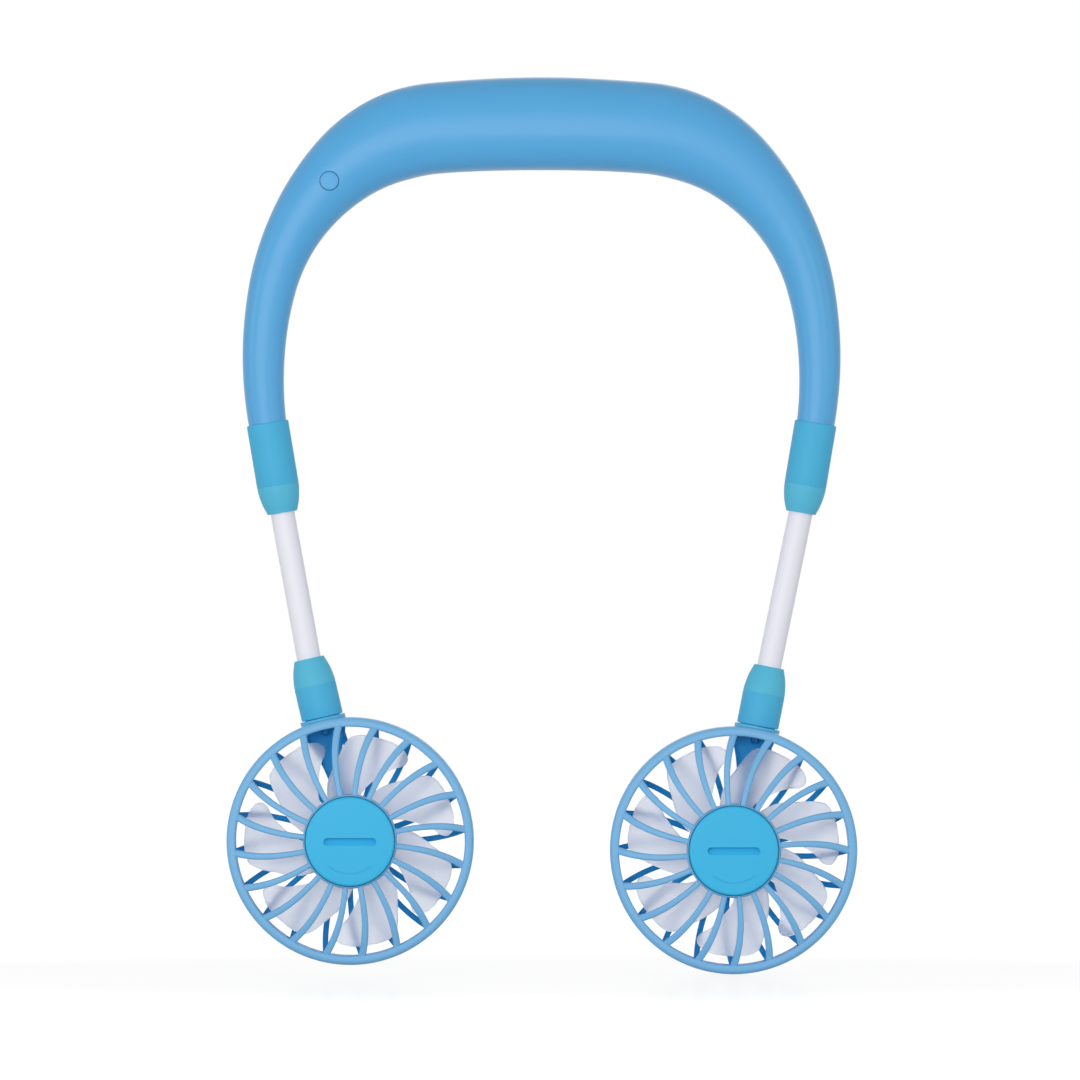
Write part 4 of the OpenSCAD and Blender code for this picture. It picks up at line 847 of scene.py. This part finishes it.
def rib(turn, inner, outer, widths, way, crests, span, depth, flip, soft):
    """One curved rib: a rounded bar from r inner to outer, its crest following a table."""
    rings = []
    for i in range(RIB_STEPS + 1):
        t = i / RIB_STEPS
        r = inner + (outer - inner) * t
        bend = RIB_SWEEP * t ** RIB_CURVE
        angle = RIB_PHASE + way * (bend - RIB_SWEEP) + turn
        centre = np.array(clockwise(r, angle))
        slope = RIB_SWEEP * RIB_CURVE * t ** (RIB_CURVE - 1) / (outer - inner) * RAD * way
        tangent = np.array(clockwise(1, angle)) + np.array(clockwise(1, angle + 90)) * slope * r
        tangent /= np.linalg.norm(tangent)
        across = np.array([tangent[1], -tangent[0]])
        half = (widths[0] + (widths[1] - widths[0]) * t) / 2
        crest = curve_table(crests, (r - span[0]) / (span[1] - span[0]))
        top = soft * half
        low, base = half - RIB_FOOT, crest - depth + RIB_FOOT
        section = [
            *corner(half - top, crest - top, top, 0, CREST_STEPS),
            *corner(-half + top, crest - top, top, 90, CREST_STEPS),
            *corner(-low, base, RIB_FOOT, 180, FOOT_STEPS),
            *corner(low, base, RIB_FOOT, 270, FOOT_STEPS),
        ]
        rings.append([
            (centre[0] + across[0] * x, centre[1] + across[1] * x, h * flip) for x, h in section
        ])
    return loft(rings)


def add_ribs(shape, ribs):
    for k in range(RIBS):
        shape.add(*rib(360 * k / RIBS, **ribs))


def vent_cutters(frame_of, tag):
    """Cutters for the circle of round holes in the hub's floor."""
    profile = [(0, VENT_LOW), (VENT_RADIUS, VENT_LOW), (VENT_RADIUS, VENT_HIGH), (0, VENT_HIGH)]
    cutters = []
    for k in range(VENTS):
        a = TURN * (k + 0.5) / VENTS
        x0, y0 = VENT_STATION * math.cos(a), VENT_STATION * math.sin(a)
        verts, faces = lathe(profile, segments=32)
        verts = [(x + x0, y + y0, z) for x, y, z in verts]
        cutters.append(Shape().add(verts, faces).build(f"cut_{tag}_{k}", frame_of))
    return cutters


BLADES = 7
# A blade's outline, up its trailing side and down its leading side: radii and angles, and how
# many points are on the trailing side
BLADE_RADII = (11.9, 14.85, 18.95, 22.3, 25.6, 30.3, 32.4, 33.3, 33.65,
               33.65, 33.2, 32.2, 30.6, 28.4, 25.6, 20.9, 17.05, 14.85, 11.9)
BLADE_ANGLES = (-21.5, -17.25, -11, -4.6, 1.5, 7.75, 11, 14.5, 19,
                36, 41.5, 45.5, 47.6, 46.6, 41.25, 34, 27, 24, 20)
TRAILING = 9
BLADE_MIDDLE, BLADE_PITCH, BLADE_CAMBER, BLADE_HEIGHT = 17.0, 23.0, 48.0, 1.9
# Half a blade's thickness, and how far in from its edge it is reached
BLADE_HALF, BLADE_RIM = 0.6, 1.1
CURL_START, CURL = 11.0, 11.0
# Rows from foot to tip, how they crowd to the tip, and the columns' shares across
BLADE_ROWS, ROW_CROWDING, EDGE_STEPS = 34, 1.5, 12
COLUMNS = (
    [0, 0.006, 0.02, 0.05, 0.1] + [0.1 + 0.8 * k / 16 for k in range(1, 17)]
    + [0.95, 0.98, 0.994, 1]
)
FAN_WELD = 2e-6


def edge_curve(radii, angles):
    """Points along one edge of a blade, close together and smooth, as (radius, angle)."""
    out = []
    n = len(radii)
    for i in range(n - 1):
        for k in range(EDGE_STEPS):
            u = (i + k / EDGE_STEPS) / (n - 1)
            out.append((curve_table(radii, u), curve_table(angles, u)))
    out.append((radii[-1], angles[-1]))
    return out


def spaced(points, shares):
    """The points at the given shares of the way along a line."""
    flat = [np.array(clockwise(r, a)) for r, a in points]
    gone = [0.0]
    for a, b in zip(flat, flat[1:]):
        gone.append(gone[-1] + float(np.linalg.norm(b - a)))
    out = []
    for t in shares:
        d = t * gone[-1]
        i = max(0, min(len(flat) - 2, int(np.searchsorted(gone, d)) - 1))
        u = (d - gone[i]) / max(TINY, gone[i + 1] - gone[i])
        out.append(flat[i] * (1 - u) + flat[i + 1] * u)
    return out


def blade_surface(v):
    """(height, sideways, up) of a blade's middle surface at v across it, with its normal.

    The camber turns one way, and past the curl's start the leading side levels out again."""
    lean = (BLADE_PITCH + CURL_START) * RAD
    vc = BLADE_CAMBER * math.sin(BLADE_PITCH * RAD)
    wc = BLADE_HEIGHT - BLADE_CAMBER * math.cos(BLADE_PITCH * RAD)
    if v >= vc - BLADE_CAMBER * math.sin(lean):
        rise = math.sqrt(BLADE_CAMBER ** 2 - (v - vc) ** 2)
        return wc + rise, (v - vc) / BLADE_CAMBER, rise / BLADE_CAMBER
    vc -= (BLADE_CAMBER + CURL) * math.sin(lean)
    wc += (BLADE_CAMBER + CURL) * math.cos(lean)
    rise = math.sqrt(CURL ** 2 - (v - vc) ** 2)
    return wc - rise, (vc - v) / CURL, rise / CURL


def blade(turn):
    """A cambered blade: upper and lower skins that meet in a thin rounded rim."""
    left = edge_curve(BLADE_RADII[:TRAILING], BLADE_ANGLES[:TRAILING])
    right = edge_curve(BLADE_RADII[TRAILING:][::-1], BLADE_ANGLES[TRAILING:][::-1])
    ends = [1 - (1 - i / BLADE_ROWS) ** ROW_CROWDING for i in range(BLADE_ROWS + 1)]
    along_u = np.array(clockwise(1, BLADE_MIDDLE))
    across_v = np.array(clockwise(1, BLADE_MIDDLE - 90))
    tip = max(BLADE_RADII)
    c, s = math.cos(-turn * RAD), math.sin(-turn * RAD)
    rings = []
    for a, b in zip(spaced(left, ends), spaced(right, ends)):
        ra, rb = np.linalg.norm(a), np.linalg.norm(b)
        aa, ab = math.atan2(a[0], a[1]), math.atan2(b[0], b[1])
        upper, lower = [], []
        for t in COLUMNS:
            r = ra + (rb - ra) * t
            g = aa + (ab - aa) * t
            p = np.array([r * math.sin(g), r * math.cos(g)])
            reach = min(np.linalg.norm(p - a), np.linalg.norm(p - b), max(0.0, tip - r))
            share = min(1.0, reach / BLADE_RIM)
            half = BLADE_HALF * math.sqrt(max(0.0, 1 - (1 - share) ** 2))
            u, v = float(p @ along_u), float(p @ across_v)
            w, nv, nw = blade_surface(v)
            for sign, row in ((1, upper), (-1, lower)):
                q = along_u * u + across_v * (v + sign * half * nv)
                row.append((q[0], q[1], w + sign * half * nw))
        rings.append([(x * c - y * s, x * s + y * c, z) for x, y, z in upper + lower[::-1]])
    return loft(rings)


# The strut's half widths at shares of the way from the motor cup to the ring
STRUT_HALVES = (2.5, 2.5, 2.6, 2.9, 3.4, 4.2, 5.1, 5.9, 6.3, 6.6)
STRUT_SHARES = (0, 0.42, 0.52, 0.6, 0.67, 0.74, 0.82, 0.89, 0.94, 1)
STRUT_SPAN = (10.375, 36.9)
STRUT_FRONT, STRUT_BACK = -6.3, -10.2
STRUT_STEPS, STRUT_ROUND, STRUT_CORNER = 40, 0.7, 5


def strut_half(share):
    """The strut's half width, read smoothly between its table's shares."""
    for i in range(len(STRUT_SHARES) - 1):
        if share <= STRUT_SHARES[i + 1]:
            break
    a, b = STRUT_SHARES[i], STRUT_SHARES[i + 1]
    h = b - a
    u = (share - a) / h
    w = STRUT_HALVES
    first, last = i == 0, i + 2 >= len(w)
    before, after = w[i if first else i - 1], w[i + 1 if last else i + 2]
    left = (w[i + 1] - before) / (b - (a - h if first else STRUT_SHARES[i - 1]))
    right = (after - w[i]) / ((b + h if last else STRUT_SHARES[i + 2]) - a)
    return (
        (2 * u ** 3 - 3 * u ** 2 + 1) * w[i] + (u ** 3 - 2 * u ** 2 + u) * h * left
        + (3 * u ** 2 - 2 * u ** 3) * w[i + 1] + (u ** 3 - u ** 2) * h * right
    )


def strut_rings():
    """Rounded sections of the strut, from the motor cup out to the ring."""
    high, low = STRUT_FRONT - STRUT_ROUND, STRUT_BACK + STRUT_ROUND
    rings = []
    for k in range(STRUT_STEPS + 1):
        share = k / STRUT_STEPS
        r = STRUT_SPAN[0] + (STRUT_SPAN[1] - STRUT_SPAN[0]) * share
        w = strut_half(share) - STRUT_ROUND
        section = []
        for x, z, start in ((w, high, 0), (-w, high, 90), (-w, low, 180), (w, low, 270)):
            section += corner(x, z, STRUT_ROUND, start, STRUT_CORNER)
        rings.append([(x, r, z) for x, z in section])
    return rings


# The cap's coin slot: radius of its ends, width between them, floor, drop and slope
SLOT_RADIUS, SLOT_WIDTH, SLOT_FLOOR, SLOT_DROP, SLOT_SLOPE = 1.2, 14.2, 14.9, 0.1, 0.45
# The mark under it: radii, floor, and half its angle
MARK_INSIDE, MARK_OUTSIDE, MARK_FLOOR, MARK_HALF, MARK_STEPS = 9.95, 10.45, 16.1, 40, 48
CAP_CUT_HIGH = 17.5
# The cap's edges, in metres, and the angle in degrees from which one is rounded
CAP_EDGE, CAP_EDGE_STEPS, CAP_EDGE_ANGLE = 0.00012, 3, 50


def mark_cutter(name, frame_of):
    """A cutter for the engraved arc under the coin slot."""
    rings = []
    for k in range(MARK_STEPS + 1):
        a = (-90 - MARK_HALF + 2 * MARK_HALF * k / MARK_STEPS) * RAD
        c, s = math.cos(a), math.sin(a)
        rings.append([
            (MARK_INSIDE * c, MARK_INSIDE * s, MARK_FLOOR),
            (MARK_OUTSIDE * c, MARK_OUTSIDE * s, MARK_FLOOR),
            (MARK_OUTSIDE * c, MARK_OUTSIDE * s, CAP_CUT_HIGH),
            (MARK_INSIDE * c, MARK_INSIDE * s, CAP_CUT_HIGH),
        ])
    return Shape().add(*loft(rings)).build(name, frame_of)


for name, side in SIDES:
    head = head_frame(side)
    body = f"{name}_head"

    # Front guard: rolled ring, swept ribs, and the cup that holds the scent pad
    shape = Shape().add(*turned(FRONT_RING, steps=8, segments=192, closed=True))
    add_ribs(shape, FRONT_RIBS)
    ob = shape.build(f"{name}_guard_front", head, CURVED)
    piece(ob, GUARD, body, "guard_plastic", f"{name}_front_guard")
    hub = Shape().add(*turned(HUB_CUP, steps=5, segments=128))
    hub = hub.build(f"{name}_hub_cup", head, CURVED)
    cut(hub, *vent_cutters(head, f"{name}_vent"))
    piece(smooth(hub, CURVED), GUARD, body, "guard_plastic", f"{name}_front_guard")

    # Rear guard: back ring, ribs that sweep the other way, and the motor cup
    shape = Shape().add(*turned(REAR_RING, steps=8, segments=192, closed=True))
    add_ribs(shape, REAR_RIBS)
    shape.add(*turned(MOTOR_CUP, steps=6, segments=128))
    ob = shape.build(f"{name}_guard_rear", head, CURVED)
    piece(ob, DEEP, body, "deep_blue_plastic", f"{name}_rear_guard")

    # The strut that carries the motor cup, with a collar where the cable goes into its channel
    strut = Shape().add(*loft(strut_rings()))
    verts, faces = turned(CABLE_COLLAR, steps=4, segments=32, closed=True)
    strut.add([(x, y + COLLAR_STATION, z) for x, y, z in verts], faces)
    ob = strut.build(f"{name}_guard_strut", head, CURVED)
    piece(ob, DEEP, body, "deep_blue_plastic", f"{name}_rear_guard")

    # Impeller
    fan = Shape()
    for k in range(BLADES):
        fan.add(*blade(FAN_ANGLE[side] + 360 * k / BLADES))
    fan.add(*turned(SPINNER, steps=6, segments=96, closed=True))
    ob = weld(fan.build(f"{name}_fan_blades", head, CURVED), FAN_WELD, FAN_SMOOTH)
    piece(ob, BLADE, f"{name}_fan", "blade_plastic", f"{name}_impeller")

    # Cap, turned level, with its coin slot and the engraved arc under it
    tilt = side * STEM_LEAN[side] * RAD
    c, s = math.cos(tilt), math.sin(tilt)
    level = (head[0] @ np.array([[c, -s, 0], [s, c, 0], [0, 0, 1.0]]), head[1])
    cap = Shape().add(*turned(CAP_FACE, steps=8, segments=160))
    cap = cap.build(f"{name}_cap", level, CURVED)
    slot = slot_cutter(
        f"cut_{name}_slot", level, SLOT_RADIUS, SLOT_WIDTH, SLOT_FLOOR, CAP_CUT_HIGH,
        SLOT_DROP, SLOT_SLOPE,
    )
    cut(cap, slot, mark_cutter(f"cut_{name}_arc", level))
    bevel = cap.modifiers.new("edge", "BEVEL")
    bevel.width = CAP_EDGE
    bevel.segments = CAP_EDGE_STEPS
    bevel.limit_method = "ANGLE"
    bevel.angle_limit = math.radians(CAP_EDGE_ANGLE)
    bevel.harden_normals = True
    applied(cap)
    piece(cap, CAP, f"{name}_cap", "cap_plastic", f"{name}_aroma_cap")

# The floor, the world and the lamps, in metres

FLOOR_HALF, FLOOR_LOW = 4, -0.0004
FLOOR_GREY, FLOOR_WHITE = 0.6, 1.12
# The share of the floor's white that the light on it makes, near the object, and where it fades
FLOOR_SHADE, SHADE_NEAR, SHADE_FAR = 0.16, 0.16, 0.42
FLOOR_SHEEN, FLOOR_ROUGH = 0.09, 0.12
# The world's white as the object gets it
WORLD_LIGHT = 0.44


def plain_rays(nodes, links):
    """1 for camera, glossy and transmission rays, which meet plain white."""
    path = nodes.new("ShaderNodeLightPath")
    seen = path.outputs["Is Camera Ray"]
    for ray in ("Is Glossy Ray", "Is Transmission Ray"):
        most = nodes.new("ShaderNodeMath")
        most.operation = "MAXIMUM"
        links.new(seen, most.inputs[0])
        links.new(path.outputs[ray], most.inputs[1])
        seen = most.outputs[0]
    return seen


def white_ground(name):
    """White to the camera, and near the object darker where it keeps the light off."""
    mat = bpy.data.materials.new(name)
    mat.use_nodes = True
    nodes, links = mat.node_tree.nodes, mat.node_tree.links
    nodes.clear()
    out = nodes.new("ShaderNodeOutputMaterial")
    soft = nodes.new("ShaderNodeBsdfDiffuse")
    soft.inputs["Color"].default_value = (FLOOR_GREY, FLOOR_GREY, FLOOR_GREY, 1)
    glow = nodes.new("ShaderNodeEmission")
    glow.inputs["Strength"].default_value = FLOOR_WHITE
    coords = nodes.new("ShaderNodeTexCoord")
    away = nodes.new("ShaderNodeVectorMath")
    away.operation = "LENGTH"
    links.new(coords.outputs["Object"], away.inputs[0])
    fade = nodes.new("ShaderNodeMapRange")
    fade.interpolation_type = "SMOOTHSTEP"
    fade.inputs["From Min"].default_value = SHADE_NEAR
    fade.inputs["From Max"].default_value = SHADE_FAR
    fade.inputs["To Min"].default_value = 1 - FLOOR_SHADE
    fade.inputs["To Max"].default_value = 1.0
    links.new(away.outputs["Value"], fade.inputs["Value"])
    share = nodes.new("ShaderNodeMath")
    share.operation = "MULTIPLY"
    links.new(plain_rays(nodes, links), share.inputs[0])
    links.new(fade.outputs["Result"], share.inputs[1])
    mix = nodes.new("ShaderNodeMixShader")
    links.new(share.outputs[0], mix.inputs["Fac"])
    links.new(soft.outputs[0], mix.inputs[1])
    links.new(glow.outputs[0], mix.inputs[2])
    mirror = nodes.new("ShaderNodeBsdfGlossy")
    mirror.inputs["Roughness"].default_value = FLOOR_ROUGH
    polish = nodes.new("ShaderNodeMixShader")
    polish.inputs["Fac"].default_value = FLOOR_SHEEN
    links.new(mix.outputs[0], polish.inputs[1])
    links.new(mirror.outputs[0], polish.inputs[2])
    links.new(polish.outputs[0], out.inputs["Surface"])
    return mat


floor_mesh = bpy.data.meshes.new("floor")
corners = [(x * FLOOR_HALF, y * FLOOR_HALF, 0) for x, y in ((-1, -1), (1, -1), (1, 1), (-1, 1))]
floor_mesh.from_pydata(corners, [], [(0, 1, 2, 3)])
floor = placed("floor", floor_mesh)
floor_mesh.materials.append(white_ground("floor_white"))
floor.location.z = FLOOR_LOW

world = bpy.data.worlds.new("studio")
bpy.context.scene.world = world
world.use_nodes = True
nodes, links = world.node_tree.nodes, world.node_tree.links
back = nodes["Background"]
back.inputs["Color"].default_value = (1, 1, 1, 1)
white = spread(nodes, links, plain_rays(nodes, links), WORLD_LIGHT, 1.0)
links.new(white, back.inputs["Strength"])


def lamp(name, place, aim, size, power):
    """A rectangular lamp, with its power in watts."""
    light = bpy.data.lights.new(name, "AREA")
    light.shape = "RECTANGLE"
    light.size, light.size_y = size
    light.energy = power
    ob = placed(name, light)
    ob.location = place
    ob.rotation_euler = (Vector(aim) - Vector(place)).to_track_quat("-Z", "Y").to_euler()
    return ob


lamp("key", place=(-0.4, -1.4, 0.2), aim=(0, 0, 0.14), size=(1.4, 0.39), power=8.2)
lamp("fill", place=(0.8, -1.2, 0.24), aim=(0, 0, 0.12), size=(0.5, 0.44), power=2.0)
lamp("strip_left", place=(-1.45, -0.55, 0.3), aim=(0, 0, 0.17), size=(0.32, 0.55), power=2.2)
lamp("strip_right", place=(1.45, -0.55, 0.3), aim=(0, 0, 0.17), size=(0.32, 0.55), power=1.4)
lamp("back", place=(0.3, 1.4, 0.8), aim=(0, 0, 0.15), size=(1.0, 0.6), power=1.5)
